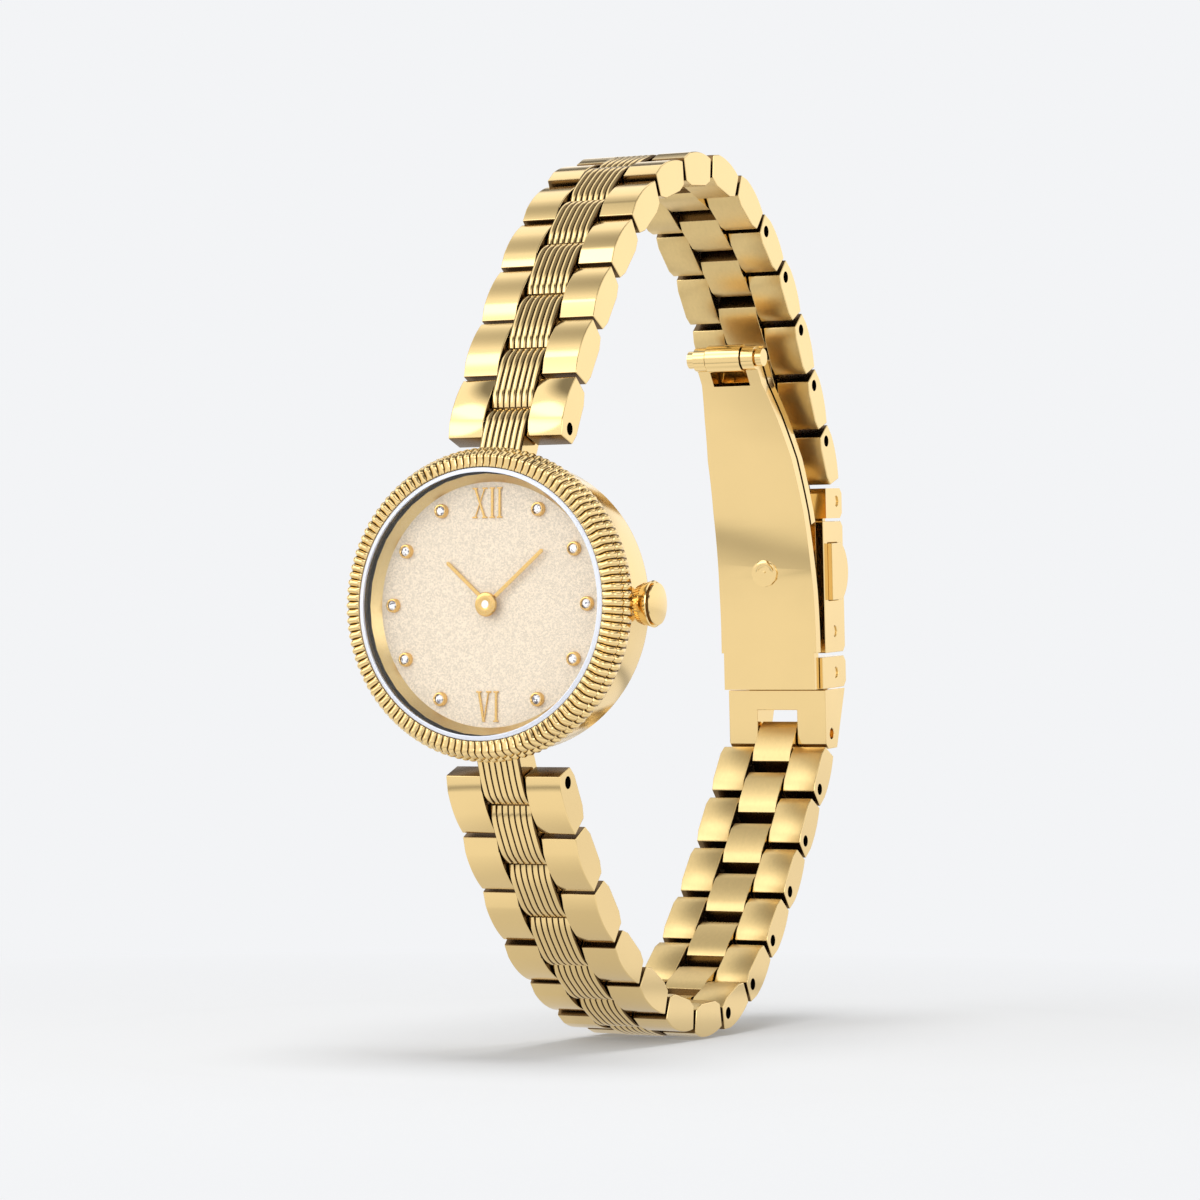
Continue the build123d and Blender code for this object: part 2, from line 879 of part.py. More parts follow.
def last_upper_centre():
    """The centre piece that hooks over the clasp's other pin, open towards the wrist."""
    bore = clasp_pin_radius + open_pivot_clearance
    end = centre_overhang + link_pitch + cut_overrun
    width = centre_width
    hook = centre_link() - bore_x(bore, -width, width, 0, upper_end_pitch)
    hook -= block(-width, width, 0, width, upper_end_pitch - bore, end)
    return hook - block(-width, width, -bore, width, upper_end_pitch, end)


def walk(bends, first, last_pitch):
    """The pins of a chain as (y, z) steps from its first, and each link's angle from Z."""
    angles = [first]
    for bend in bends:
        angles.append(angles[-1] + bend)
    places = [(0.0, 0.0)]
    for number, angle in enumerate(angles):
        length = last_pitch if number == len(angles) - 1 else link_pitch
        y, z = places[-1]
        places.append((y + length * sin(radians(angle)), z + length * cos(radians(angle))))
    return places, angles


def corner_angle(near, far, opposite):
    return degrees(acos((near ** 2 + far ** 2 - opposite ** 2) / (2 * near * far)))


def bracelet():
    """Both chains, turned about the lug pins so that they meet at the clasp's end hole."""
    upper, upper_angles = walk(upper_bends, 0, upper_end_pitch)
    down = radians(upper_angles[-1] + upper_end_bend)
    y, z = upper[-1]
    upper_reach = (
        y + upper_pin_t * sin(down) + upper_pin_n * cos(down),
        z + upper_pin_t * cos(down) - upper_pin_n * sin(down),
    )
    lower, lower_angles = walk(lower_bends, 0, lower_end_pitch)
    lower_reach = lower[-1]
    span = 2 * lug_pin_z
    long_side = hypot(*upper_reach)
    short_side = hypot(*lower_reach)
    upper_first = half(full_turn) - corner_angle(span, long_side, short_side) - degrees(atan2(*upper_reach))
    lower_first = half(full_turn) - corner_angle(span, short_side, long_side) - degrees(atan2(*lower_reach))
    upper, upper_angles = walk(upper_bends, upper_first, upper_end_pitch)
    lower, lower_angles = walk(lower_bends, lower_first, lower_end_pitch)
    upper = [(y + lug_pin_y, z + lug_pin_z) for y, z in upper]
    lower = [(y + lug_pin_y, -z - lug_pin_z) for y, z in lower]
    return upper, upper_angles, lower, lower_angles


def upper_place(number):
    """Where the upper link of that number goes, counted from the case."""
    upper, angles, _, _ = bracelet()
    y, z = upper[number - 1]
    return Pos(0, y, z) * Rot(X=-angles[number - 1])


def lower_place(number):
    _, _, lower, angles = bracelet()
    y, z = lower[number - 1]
    return Pos(0, y, z) * Rot(X=angles[number - 1]) * Rot(Y=180)


def clasp_tilt():
    _, angles, _, _ = bracelet()
    return half(full_turn) - angles[-1] - upper_end_bend


def clasp_place():
    """The clasp's frame: its end hole, with t along Z and n along -Y before it is placed."""
    _, _, lower, _ = bracelet()
    y, z = lower[-1]
    return Pos(0, y, z) * Rot(X=clasp_tilt()) * Rot(Z=180)


# Clasp


def on_blade(radius, turn):
    """A (t, n) point on a circle about the centre of the blade's curve."""
    angle = radians(turn)
    centre_n = blade_face_n - blade_curve_radius
    return blade_bend_t + radius * sin(angle), centre_n + radius * cos(angle)


def clasp_point(t, n):
    return -n, t


def knuckle_pin():
    return on_blade(blade_curve_radius + half(blade_thickness), blade_end_turn)


def curved_strip(low, high, start_turn, end_turn, foot_t=None):
    """A strip between two radii of the blade's curve, with a straight foot down to foot_t."""
    middle = half(start_turn + end_turn)
    points = [on_blade(low, start_turn), on_blade(low, middle), on_blade(low, end_turn)]
    points += [on_blade(high, end_turn), on_blade(high, middle), on_blade(high, start_turn)]
    inner = ThreePointArc(*[clasp_point(*p) for p in points[:3]])
    outer = ThreePointArc(*[clasp_point(*p) for p in points[3:]])
    corners = [clasp_point(*points[5])]
    if foot_t is not None:
        corners.append(clasp_point(foot_t, points[5][1]))
        corners.append(clasp_point(foot_t, points[0][1]))
    corners.append(clasp_point(*points[0]))
    foot = Polyline(*corners)
    tip = Line(clasp_point(*points[2]), clasp_point(*points[3]))
    edges = ShapeList()
    for curve in (inner, outer, foot, tip):
        edges += (Plane.YZ * curve).edges()
    return make_face(edges)


def blade_outline(low_t):
    """The blade's outline seen square on, as a prism to keep what lies inside it."""
    widths = [share * half(clasp_width - 2 * side_clearance) for share in blade_waist_share]
    right = [(w, t) for w, t in zip(widths, blade_waist_t)]
    right.insert(0, (widths[0], low_t))
    left = [(-w, t) for w, t in reversed(right)]
    face = make_face(Plane.XZ * Polyline(*right, *left, close=True))
    depth = blade_curve_radius
    return Pos(0, depth, 0) * extrude(face, amount=2 * depth, dir=(0, -1, 0))


def clasp_blade():
    """The long curved inner blade, forked at its top for the hinge knuckle."""
    width = clasp_width - 2 * side_clearance
    strip = curved_strip(blade_curve_radius, blade_curve_radius + blade_thickness, 0,
                         blade_end_turn, end_piece_top_t + seam_gap)
    blade = slab_x(strip, -half(width), half(width)) & blade_outline(end_piece_top_t)
    pin_t, pin_n = knuckle_pin()
    ears = half(width) * blade_waist_share[-1]
    blade += clasp_pin(ear_radius, -ears, ears, pin_t, pin_n, post_sides)
    foot_edge = half(clasp_width) - blade_foot_inset
    for low, high in ((-clasp_width, -foot_edge), (foot_edge, clasp_width)):
        blade -= block(low, high, 0, knuckle_width + cut_overrun, 0, foot_top_t + blade_foot_relief)
    slot = half(knuckle_width) + side_clearance
    reach = blade_notch_depth
    blade -= block(-slot, slot, 0, -pin_n + reach + cut_overrun, pin_t - reach, pin_t + reach)
    blade -= clasp_bore(knuckle_pin_radius + running_clearance, -width, width, pin_t, pin_n, post_sides)
    hole = stud_radius + press_clearance
    return blade - post_y(hole, -blade_face_n - 2 * blade_thickness, -blade_face_n + cut_overrun, 0, stud_t)


def latch_stud():
    """The stud riveted through the inner blade, with the head that the pushers hold."""
    low = blade_rise_at(stud_t) - boss_rise
    shank = post_y(stud_radius, -stud_top_n, -low, 0, stud_t)
    head = post_y(stud_head_radius, -stud_top_n, stud_head_height - stud_top_n, 0, stud_t)
    boss = post_y(boss_radius, low_side(stud_t), -low, 0, stud_t)
    centre_n = blade_face_n - blade_curve_radius
    inside = clasp_rod(blade_curve_radius, -boss_radius, boss_radius, blade_bend_t, centre_n)
    return shank + head + (boss & inside)


def low_side(t):
    """A y a little outside the blade's wrist face at t."""
    return -blade_rise_at(t) - half(blade_thickness)


def blade_rise_at(t):
    """The n of the blade's wrist face at t."""
    run = t - blade_bend_t
    return blade_face_n - blade_curve_radius + (blade_curve_radius ** 2 - run ** 2) ** 0.5


def clasp_foot():
    """The block at the blade's lower end, on a neck, with the pin through it."""
    low = end_piece_top_t + seam_gap
    top = foot_top_t
    corner = foot_corner
    points = [
        (low, foot_inner_n),
        (top, foot_inner_n),
        (top, foot_outer_n - corner),
        (top - corner, foot_outer_n),
        (low + corner, foot_outer_n),
        (low, foot_outer_n - corner),
    ]
    foot = clasp_slab(points, clasp_width)
    neck_n = blade_face_n + blade_thickness
    neck = clasp_slab([(low, neck_n), (top, neck_n), (top, foot_inner_n), (low, foot_inner_n)],
                      clasp_width - 2 * foot_neck_inset)
    return foot + neck - clasp_hole(foot_pin_t, foot_pin_n)


def clasp_end_piece():
    """The end block: the last centre piece lies in its notch."""
    points = [
        (end_piece_bottom_t, end_piece_inner_n + foot_corner),
        (end_piece_bottom_t + foot_corner, end_piece_inner_n),
        (end_piece_top_t, end_piece_inner_n),
        (end_piece_top_t, end_piece_outer_n),
        (end_piece_bottom_t, end_piece_toe_n),
    ]
    body = clasp_slab(points, clasp_width)
    slot = half(centre_width) + side_clearance
    notch = [
        (end_piece_bottom_t - cut_overrun, end_piece_inner_n - cut_overrun),
        (end_piece_notch_t, end_piece_inner_n - cut_overrun),
        (end_piece_notch_t, end_piece_outer_n + cut_overrun),
        (end_piece_bottom_t - cut_overrun, end_piece_outer_n + cut_overrun),
    ]
    body -= clasp_slab(notch, 2 * slot)
    tail = clasp_slab([
        (end_piece_top_t, foot_pin_n - clasp_pin_radius),
        (end_piece_top_t + seam_gap, foot_pin_n - clasp_pin_radius),
        (end_piece_top_t + seam_gap, foot_pin_n + clasp_pin_radius),
        (end_piece_top_t, foot_pin_n + clasp_pin_radius),
    ], clasp_width - 2 * foot_neck_inset)
    return body + tail - clasp_hole(0, 0)


def base_pins():
    """The pins in the foot and in the end piece, each a little below the side faces."""
    reach = half(clasp_width) - seam_gap
    recessed = half(clasp_width) - pin_recess
    return [
        clasp_pin(clasp_pin_radius, -reach, reach, foot_pin_t, foot_pin_n),
        clasp_pin(clasp_pin_radius, -recessed, recessed, 0, 0),
    ]


def lever_strip():
    """The lever's curved strip with its knuckle, cut clear of the blade's ears."""
    width = clasp_width - 2 * side_clearance
    strip = curved_strip(fold_radius(), fold_radius() + fold_thickness, fold_start_turn(), blade_end_turn)
    lever = slab_x(strip, -half(width), half(width)) & blade_outline(end_piece_top_t)
    pin_t, pin_n = knuckle_pin()
    trim = half(knuckle_width)
    for low, high in ((-half(width), -trim), (trim, half(width))):
        lever -= clasp_bore(ear_radius + fold_gap, low, high, pin_t, pin_n, post_sides)
    return lever + clasp_pin(knuckle_radius, -trim, trim, pin_t, pin_n, post_sides)


def fold_radius():
    return blade_curve_radius + blade_thickness + fold_gap


def fold_start_turn():
    """How far round the curve the lever's strip begins."""
    return degrees(acos(1 - half(((fold_foot_t - blade_bend_t) / fold_radius()) ** 2)))


def lever_block():
    """The block that holds the bracelet's pin, on its neck, slotted for the last link."""
    _, strip_n = on_blade(fold_radius() + fold_thickness, fold_start_turn())
    corner = block_corner
    neck = clasp_slab([
        (fold_foot_t, strip_n - fold_thickness),
        (block_top_t - corner, strip_n - 2 * fold_thickness),
        (block_top_t - corner, block_inner_n),
        (block_bottom_t, block_inner_n),
    ], clasp_width - 2 * block_neck_inset)
    head = clasp_slab([
        (block_bottom_t, block_inner_n),
        (block_top_t, block_inner_n),
        (block_top_t, block_outer_n - corner),
        (block_top_t - corner, block_outer_n),
        (block_bottom_t + corner, block_outer_n),
        (block_bottom_t, block_outer_n - corner),
    ], clasp_width)
    low = block_bottom_t - 2 * press_clearance
    opening = clasp_slab([
        (low, block_inner_n),
        (block_top_t + cut_overrun, block_inner_n - cut_overrun - fold_gap),
        (block_top_t + cut_overrun, block_outer_n + cut_overrun),
        (low + corner, block_outer_n + cut_overrun),
        (low + corner, block_inner_n),
    ], centre_width + 2 * block_slot_clearance)
    return neck + head, opening


def lever_spine():
    """The spine under the cover's roof, with the eye for the cover's pin."""
    roof = cover_outer_n - cover_roof
    under = roof - spine_thickness
    near = cover_pin_t - half(spine_eye_length)
    far = cover_pin_t + half(spine_eye_length)
    eye_n = cover_pin_n - clasp_pin_radius - half(blade_thickness)
    return clasp_slab([
        (near, eye_n),
        (far, eye_n),
        (far, under),
        (block_bottom_t, under),
        (block_bottom_t, roof),
        (near, roof),
    ], clasp_width - 2 * (cover_wall + spine_clearance))


def clasp_lever():
    """The outer lever: hinge knuckle, curved strip, bracelet block and the spine of the cover."""
    head, opening = lever_block()
    lever = lever_strip() + head + lever_spine() - opening
    lever -= clasp_hole(upper_pin_t, upper_pin_n)
    lever -= clasp_hole(cover_pin_t, cover_pin_n)
    pin_t, pin_n = knuckle_pin()
    hole = knuckle_pin_radius + press_clearance
    return lever - clasp_pin(hole, -half(clasp_width), half(clasp_width), pin_t, pin_n, post_sides)


def lever_pins():
    """The bracelet pin, the cover pin and the knuckle pin with its round ends."""
    reach = half(clasp_width) - seam_gap
    pin_t, pin_n = knuckle_pin()
    ears = half(clasp_width - 2 * side_clearance) * blade_waist_share[-1] + side_clearance
    knuckle = clasp_pin(knuckle_pin_radius, -ears, ears, pin_t, pin_n, post_sides)
    for side in (-1, 1):
        near = side * ears
        far = side * (ears + knuckle_knob_length)
        knuckle += clasp_rod(knuckle_pin_knob, min(near, far), max(near, far), pin_t, pin_n)
    return [
        clasp_pin(clasp_pin_radius, -reach, reach, upper_pin_t, upper_pin_n),
        clasp_pin(clasp_pin_radius, -reach, reach, cover_pin_t, cover_pin_n),
        knuckle,
    ]


def pusher_profile(grow):
    """The rounded outline of a pusher, in the clasp's side view."""
    low = pusher_low_t - grow
    high = pusher_high_t + grow
    inner = pusher_inner_n - grow
    chin = pusher_chin_n
    arc = Plane.YZ * ThreePointArc(
        clasp_point(high, chin),
        clasp_point(half(low + high), pusher_outer_n + grow),
        clasp_point(low, chin),
    )
    rest = Plane.YZ * Polyline(
        clasp_point(low, chin),
        clasp_point(low, inner),
        clasp_point(high, inner),
        clasp_point(high, chin),
    )
    return make_face(arc.edges() + rest.edges())


def clasp_cover():
    """The cover: a channel over the latch, with a window for a pusher in each side."""
    corner = block_corner
    shell = clasp_slab([
        (cover_bottom_t, cover_inner_n),
        (cover_top_t, cover_inner_n),
        (cover_top_t, cover_outer_n - corner),
        (cover_top_t - corner, cover_outer_n),
        (cover_bottom_t + corner, cover_outer_n),
        (cover_bottom_t, cover_outer_n - corner),
    ], clasp_width)
    inside = half(clasp_width) - cover_wall
    roof = cover_outer_n - cover_roof
    hollow = clasp_slab([
        (cover_bottom_t - cut_overrun, cover_inner_n - cut_overrun),
        (cover_top_t + cut_overrun, cover_inner_n - cut_overrun),
        (cover_top_t + cut_overrun, roof),
        (cover_bottom_t - cut_overrun, roof),
    ], 2 * inside)
    shell -= hollow
    window = pusher_profile(pusher_clearance)
    depth = half(clasp_width) + pusher_proud - pusher_depth - pusher_travel - pusher_clearance
    for side in (-1, 1):
        near = side * depth
        far = side * (half(clasp_width) + cut_overrun)
        shell -= slab_x(window, min(near, far), max(near, far))
    return shell - clasp_hole(cover_pin_t, cover_pin_n)


def pusher(side):
    """One push button, with the slotted plate that reaches round the stud."""
    outer = half(clasp_width) + pusher_proud
    inner = outer - pusher_depth
    button = slab_x(pusher_profile(0), min(side * inner, side * outer), max(side * inner, side * outer))
    level = latch_plate_n
    if side > 0:
        level += latch_plate_thickness + latch_plate_gap
    low = stud_t - half(latch_plate_length)
    high = stud_t + half(latch_plate_length)
    top = level + latch_plate_thickness
    edges = sorted((side * inner, -side * latch_reach))
    plate = slab_x(clasp_face([(low, level), (high, level), (high, top), (low, top)]), *edges)
    slot_edges = sorted((side * latch_slot_near, -side * latch_slot_far))
    slot_low = stud_t - latch_slot_side
    slot_high = stud_t + latch_slot_far
    over = cut_overrun
    slot = slab_x(clasp_face([
        (slot_low, level - over),
        (slot_high, level - over),
        (slot_high, top + over),
        (slot_low, top + over),
    ]), *slot_edges)
    return button + (plate - slot)


# Assembly


def in_place(place, shapes):
    return [place * shape for shape in shapes]


def pieces():
    """Every node's solids, in the watch's frame."""
    nodes = {
        "case_middle": [case_middle()],
        "bezel": [bezel()],
        "crystal": [crystal()],
        "crystal_gasket": [crystal_gasket()],
        "flange_ring": [flange_ring()],
        "dial": [dial()],
        "dial_numerals": dial_numerals(),
        "marker_cups": marker_cups(),
        "marker_stones": marker_stones(),
        "hour_hand": [hour_hand()],
        "minute_hand": [minute_hand(), hub_cap()],
        "cannon_pinion": [cannon_pinion()],
        "minute_wheel": [minute_wheel()],
        "hour_wheel": [hour_wheel()],
        "main_plate": [main_plate()],
        "movement_ring": [movement_ring()],
        "battery": [battery()],
        "drive_coil": [coil()],
        "rotor": [rotor()],
        "train_bridge": [train_bridge()],
        "case_back": [case_back()],
        "back_seal": [back_seal()],
        "crown_tube": [crown_tube()],
        "crown": [crown()],
        "stem": [stem()],
        "setting_lever": [setting_lever()],
    }
    clasp = {
        "clasp_blade": [clasp_blade()],
        "clasp_foot": [clasp_foot(), clasp_end_piece()],
        "clasp_base_pins": base_pins() + [latch_stud()],
        "clasp_lever": [clasp_lever()] + lever_pins(),
        "clasp_cover": [clasp_cover()],
        "pusher_right": [pusher(-1)],
        "pusher_left": [pusher(1)],
    }
    place = clasp_place()
    for name, shapes in clasp.items():
        nodes[name] = in_place(place, shapes)
    plain = outer_links(False)
    drilled = outer_links(True)
    centre = pivoted_centre()
    for number in range(1, link_count_upper + 1):
        outers = drilled if number in drilled_upper else plain
        middle = last_upper_centre() if number == link_count_upper else centre
        nodes[f"upper_link_{number:02d}"] = in_place(upper_place(number), outers + [middle])
    for number in range(1, link_count_lower + 1):
        outers = drilled if number in drilled_lower else plain
        middle = last_lower_centre() if number == link_count_lower else centre
        nodes[f"lower_link_{number:02d}"] = in_place(lower_place(number), outers + [middle])
    return nodes


def underside(nodes):
    """The middle of the box's underside, which becomes the origin."""
    solids = []
    for shapes in nodes.values():
        for shape in shapes:
            solids += list(shape.solids())
    box = Compound(children=solids).bounding_box()
    return half(box.min.X + box.max.X), half(box.min.Y + box.max.Y), box.min.Z


def main():
    nodes = pieces()
    x, y, z = underside(nodes)
    os.makedirs("parts", exist_ok=True)
    for name, shapes in nodes.items():
        solids = []
        for shape in shapes:
            solids += [Pos(-x, -y, -z) * solid for solid in shape.solids()]
        kept = solids[0] if len(solids) == 1 else Compound(children=solids)
        export_step(kept, f"parts/{name}.step")
    print("origin moved by", round(-x, 4), round(-y, 4), round(-z, 4))


if __name__ == "__main__":
    main()
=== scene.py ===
import json
from math import atan2, cos, hypot, pi, radians, sin, sqrt

import bmesh
import bpy
from bpy.props import (
    FloatProperty,
    FloatVectorProperty,
    IntProperty,
    PointerProperty,
)
from bpy.types import Operator, Panel, PropertyGroup
from mathutils import Matrix, Vector


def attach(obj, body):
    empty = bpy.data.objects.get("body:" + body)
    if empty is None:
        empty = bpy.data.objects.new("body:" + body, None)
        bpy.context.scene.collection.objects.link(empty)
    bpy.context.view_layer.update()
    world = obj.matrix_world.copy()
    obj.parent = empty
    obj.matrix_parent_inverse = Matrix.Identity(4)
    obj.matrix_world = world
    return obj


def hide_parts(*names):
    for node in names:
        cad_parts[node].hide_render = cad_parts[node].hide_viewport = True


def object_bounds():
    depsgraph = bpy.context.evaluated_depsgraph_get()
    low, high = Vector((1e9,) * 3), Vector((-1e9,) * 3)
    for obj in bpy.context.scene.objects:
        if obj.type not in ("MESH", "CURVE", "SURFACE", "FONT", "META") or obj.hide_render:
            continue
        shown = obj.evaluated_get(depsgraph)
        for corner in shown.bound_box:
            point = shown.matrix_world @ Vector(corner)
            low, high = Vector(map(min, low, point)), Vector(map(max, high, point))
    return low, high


bl_info = {
    "name": "Bracelet Watch",
    "version": (1, 0, 0),
    "blender": (4, 5, 0),
    "location": "View3D > Sidebar > Watch",
    "description": "Dresses the watch's frame with finished pieces and sets up the studio",
    "category": "Object",
}

# The frame, and the lines of the watch that are read from it

MM = 0.001
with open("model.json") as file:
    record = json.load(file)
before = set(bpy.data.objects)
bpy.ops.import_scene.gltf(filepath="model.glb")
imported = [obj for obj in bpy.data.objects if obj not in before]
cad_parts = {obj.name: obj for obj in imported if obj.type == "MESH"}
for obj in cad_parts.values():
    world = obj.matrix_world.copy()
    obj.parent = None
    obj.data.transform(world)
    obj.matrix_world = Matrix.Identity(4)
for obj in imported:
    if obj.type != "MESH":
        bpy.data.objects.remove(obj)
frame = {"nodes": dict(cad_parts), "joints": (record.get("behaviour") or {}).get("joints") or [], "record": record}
cad_low, cad_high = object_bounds()
joints = {joint["name"]: joint for joint in frame["joints"]}
couplings = {item["joint"]: item for item in frame["record"]["behaviour"]["couplings"]}
bodies = frame["record"]["behaviour"]["bodies"]
body_of_node = {node: body for body, nodes in bodies.items() for node in nodes}
lead_joint = "upper_hinge_01"


def pivot(joint):
    """A joint's point in metres."""
    return Vector(joints[joint]["pos_m"])


def travel(joint):
    """How far a joint turns, in degrees, as the bracelet is laid out straight."""
    lead = joints[lead_joint]["range_deg"][1]
    if joint == lead_joint:
        return lead
    return lead * couplings[joint]["ratio"]


def chain(side):
    """The names of one side's hinges, counted from the case."""
    return sorted(name for name in joints if name.startswith(side + "_hinge_"))


def watch_matrix():
    """The watch's own axes: its middle at the bezel's widest circle."""
    return Matrix.Translation(pivot("minute_hand_turn"))


def link_matrix(side, number):
    """A link's axes: its pin, X across the bracelet, Y towards the wrist and Z along the chain."""
    names = chain(side)[: number]
    angle = radians(sum(travel(name) for name in names))
    up = 1 if side == "upper" else -1
    along = Vector((0, sin(angle), up * cos(angle)))
    across = Vector((up, 0, 0))
    inward = along.cross(across)
    turn = Matrix((across, inward, along)).transposed().to_4x4()
    return Matrix.Translation(pivot(names[-1])) @ turn


def clasp_matrix():
    """The clasp's axes: its end pin, X across, Y away from the wrist and Z up the clasp."""
    angle = radians(sum(travel(name) for name in chain("lower")) + travel("clasp_base_hinge"))
    along = Vector((0, sin(angle), -cos(angle)))
    across = Vector((1, 0, 0))
    outward = along.cross(across)
    turn = Matrix((across, outward, along)).transposed().to_4x4()
    return Matrix.Translation(pivot("clasp_base_hinge")) @ turn


WATCH = watch_matrix()


# Settings that a user would change


def length_setting(name, description, default):
    """A length, its default given in millimetres."""
    return FloatProperty(name=name, description=description, default=default * MM, unit="LENGTH")


def angle_setting(name, description, default):
    """An angle, its default given in degrees."""
    return FloatProperty(name=name, description=description, default=radians(default), subtype="ANGLE")


def colour_setting(name, description, default):
    return FloatVectorProperty(name=name, description=description, default=default, subtype="COLOR",
                               min=0, max=1)


class LinkSettings(PropertyGroup):
    pitch: length_setting("Pitch", "Distance between two pins", 5.44)
    width: length_setting("Width", "Bracelet's width", 9.8)
    centre: length_setting("Centre", "Width of the ribbed centre pieces", 3.6)
    gap: length_setting("Gap", "Gap between links in line", 0.15)
    side_gap: length_setting("Side gap", "Gap beside a centre piece", 0.1)
    lead: length_setting("Lead", "How far a link starts before its pin", 1.22)
    facet: length_setting("Facet", "Length of the bright end facet", 1.15)
    facet_rise: length_setting("Facet rise", "Height at the facet's end", 1.38)
    crown: length_setting("Crown", "Greatest height over the pins", 1.48)
    end_rise: length_setting("End rise", "Height at a link's ends", 0.95)
    drop: length_setting("Drop", "Depth of the inner face", 1.3)
    chamfer: length_setting("Chamfer", "Length of the inner chamfers", 0.95)
    taper: length_setting("Taper", "How far the end faces lean", 0.33)
    bevel: length_setting("Bevel", "Width of the polished edges", 0.09)
    overhang: length_setting("Overhang", "How far a centre piece passes the pin", 1.5)
    ribs: IntProperty(name="Ribs", description="Ribs on a centre piece", default=7, min=1)
    rib_depth: length_setting("Rib depth", "Depth of the valleys between ribs", 0.17)
    hole: length_setting("Hole", "Radius of the pin holes", 0.5)
    recess: length_setting("Recess", "Depth of the pins' ends", 0.7)


class CaseSettings(PropertyGroup):
    flutes: IntProperty(name="Flutes", description="Flutes round the bezel", default=120, min=3)
    flute_depth: length_setting("Flute depth", "Depth of the bezel's flutes", 0.2)
    band: length_setting("Band", "Radius of the case band", 11.2)


class FinishSettings(PropertyGroup):
    gold: colour_setting("Gold", "Colour of the polished gold tone", (0.92, 0.69, 0.33))
    satin: colour_setting("Satin gold", "Colour of the satin faces", (0.82, 0.62, 0.29))
    dial: colour_setting("Dial", "Colour of the dial's lacquer", (0.67, 0.565, 0.425))
    backdrop: colour_setting("Backdrop", "Colour of the floor and backdrop", (0.896, 0.905, 0.922))
    floor_tint: colour_setting("Floor", "Colour of the lit floor round the watch", (0.44, 0.446, 0.455))


class StageSettings(PropertyGroup):
    azimuth: angle_setting("Azimuth", "Camera's turn from the dial's axis", 26.02)
    elevation: angle_setting("Elevation", "Camera's height as an angle", -1.96)
    roll: angle_setting("Roll", "Camera's roll", 0.28)
    distance: length_setting("Distance", "From the dial to the camera", 298.5)
    aim_right: length_setting("Aim right", "How far right of the dial the camera aims", 8.576)
    aim_up: length_setting("Aim up", "How far above the dial the camera aims", 0.335)
    lens: FloatProperty(name="Lens", description="Focal length in millimetres", default=117.99)


# Shader maths written as expressions


class Shade:
    """A material's or the world's node tree, with sockets that can be added and multiplied."""

    def __init__(self, owner):
        owner.use_nodes = True
        self.owner = owner
        self.tree = owner.node_tree
        self.tree.nodes.clear()

    def node(self, kind, values=(), output=0, **settings):
        made = self.tree.nodes.new(kind)
        for key, value in settings.items():
            setattr(made, key, value)
        items = values.items() if isinstance(values, dict) else enumerate(values)
        for key, value in items:
            socket = made.inputs[key]
            if isinstance(value, Socket):
                self.tree.links.new(value.socket, socket)
            else:
                socket.default_value = value
        return Socket(self, made.outputs[output])

    def place(self):
        """The place in the object's own coordinates."""
        return self.node("ShaderNodeTexCoord", output="Object")

    def noise(self, place, scale, detail):
        return self.node("ShaderNodeTexNoise", {"Vector": place, "Scale": scale, "Detail": detail})

    def cells(self, place, scale):
        """A chance value for each cell of a Voronoi pattern."""
        cells = self.node("ShaderNodeTexVoronoi", {"Vector": place, "Scale": scale}, output="Color")
        return self.node("ShaderNodeSeparateColor", [cells])

    def bump(self, height, strength):
        return self.node("ShaderNodeBump", {"Strength": strength, "Distance": BUMP_DEPTH, "Height": height})

    def ray(self, kind):
        return self.node("ShaderNodeLightPath", output=kind)

    def ramp(self, value, stops):
        made = self.tree.nodes.new("ShaderNodeValToRGB")
        points = made.color_ramp.elements
        while len(points) < len(stops):
            points.new(0.5)
        for point, (place, colour) in zip(points, stops):
            point.position = place
            point.color = rgba(colour)
        self.tree.links.new(value.socket, made.inputs[0])
        return Socket(self, made.outputs[0])

    def mix(self, factor, first, second):
        """Two colours mixed. The numbers are the Mix node's sockets for colours."""
        return self.node("ShaderNodeMix", {0: factor, 6: rgba(first), 7: rgba(second)}, output=2,
                         data_type="RGBA")

    def glow(self, colour, kind="ShaderNodeEmission"):
        """A plain colour at full strength, whatever the lamps do."""
        return self.node(kind, {"Color": colour, "Strength": 1.0})

    def finish(self, shader, output="ShaderNodeOutputMaterial"):
        made = self.tree.nodes.new(output)
        self.tree.links.new(shader.socket, made.inputs[0])
        return self.owner

    def surface(self, colour, rough, metallic=0.0, **more):
        """The material finished with one Principled shader."""
        return self.finish(self.node("ShaderNodeBsdfPrincipled", {
            "Base Color": colour, "Roughness": rough, "Metallic": metallic, **more}))


class Socket:
    """An output socket. An operator on values adds its Math node."""

    def __init__(self, shade, socket):
        self.shade = shade
        self.socket = socket

    def maths(self, operation, first, second):
        return self.shade.node("ShaderNodeMath", [first, second], operation=operation)

    def __add__(self, other):
        return self.maths("ADD", self, other)

    def __radd__(self, other):
        return self.maths("ADD", other, self)

    def __rsub__(self, other):
        return self.maths("SUBTRACT", other, self)

    def __mul__(self, other):
        return self.maths("MULTIPLY", self, other)

    def __rmul__(self, other):
        return self.maths("MULTIPLY", other, self)

    def __gt__(self, other):
        return self.maths("GREATER_THAN", self, other)


def rgba(colour):
    return (*colour, 1.0)


def scaled(colour, share):
    return [c * share for c in colour]


def tinted(bands, tint):
    """Ramp stops of one tint, from places and their levels."""
    return [(where, scaled(tint, level)) for where, level in bands]


def paint(name):
    return Shade(bpy.data.materials.new(name))


BUMP_DEPTH = 0.02 * MM


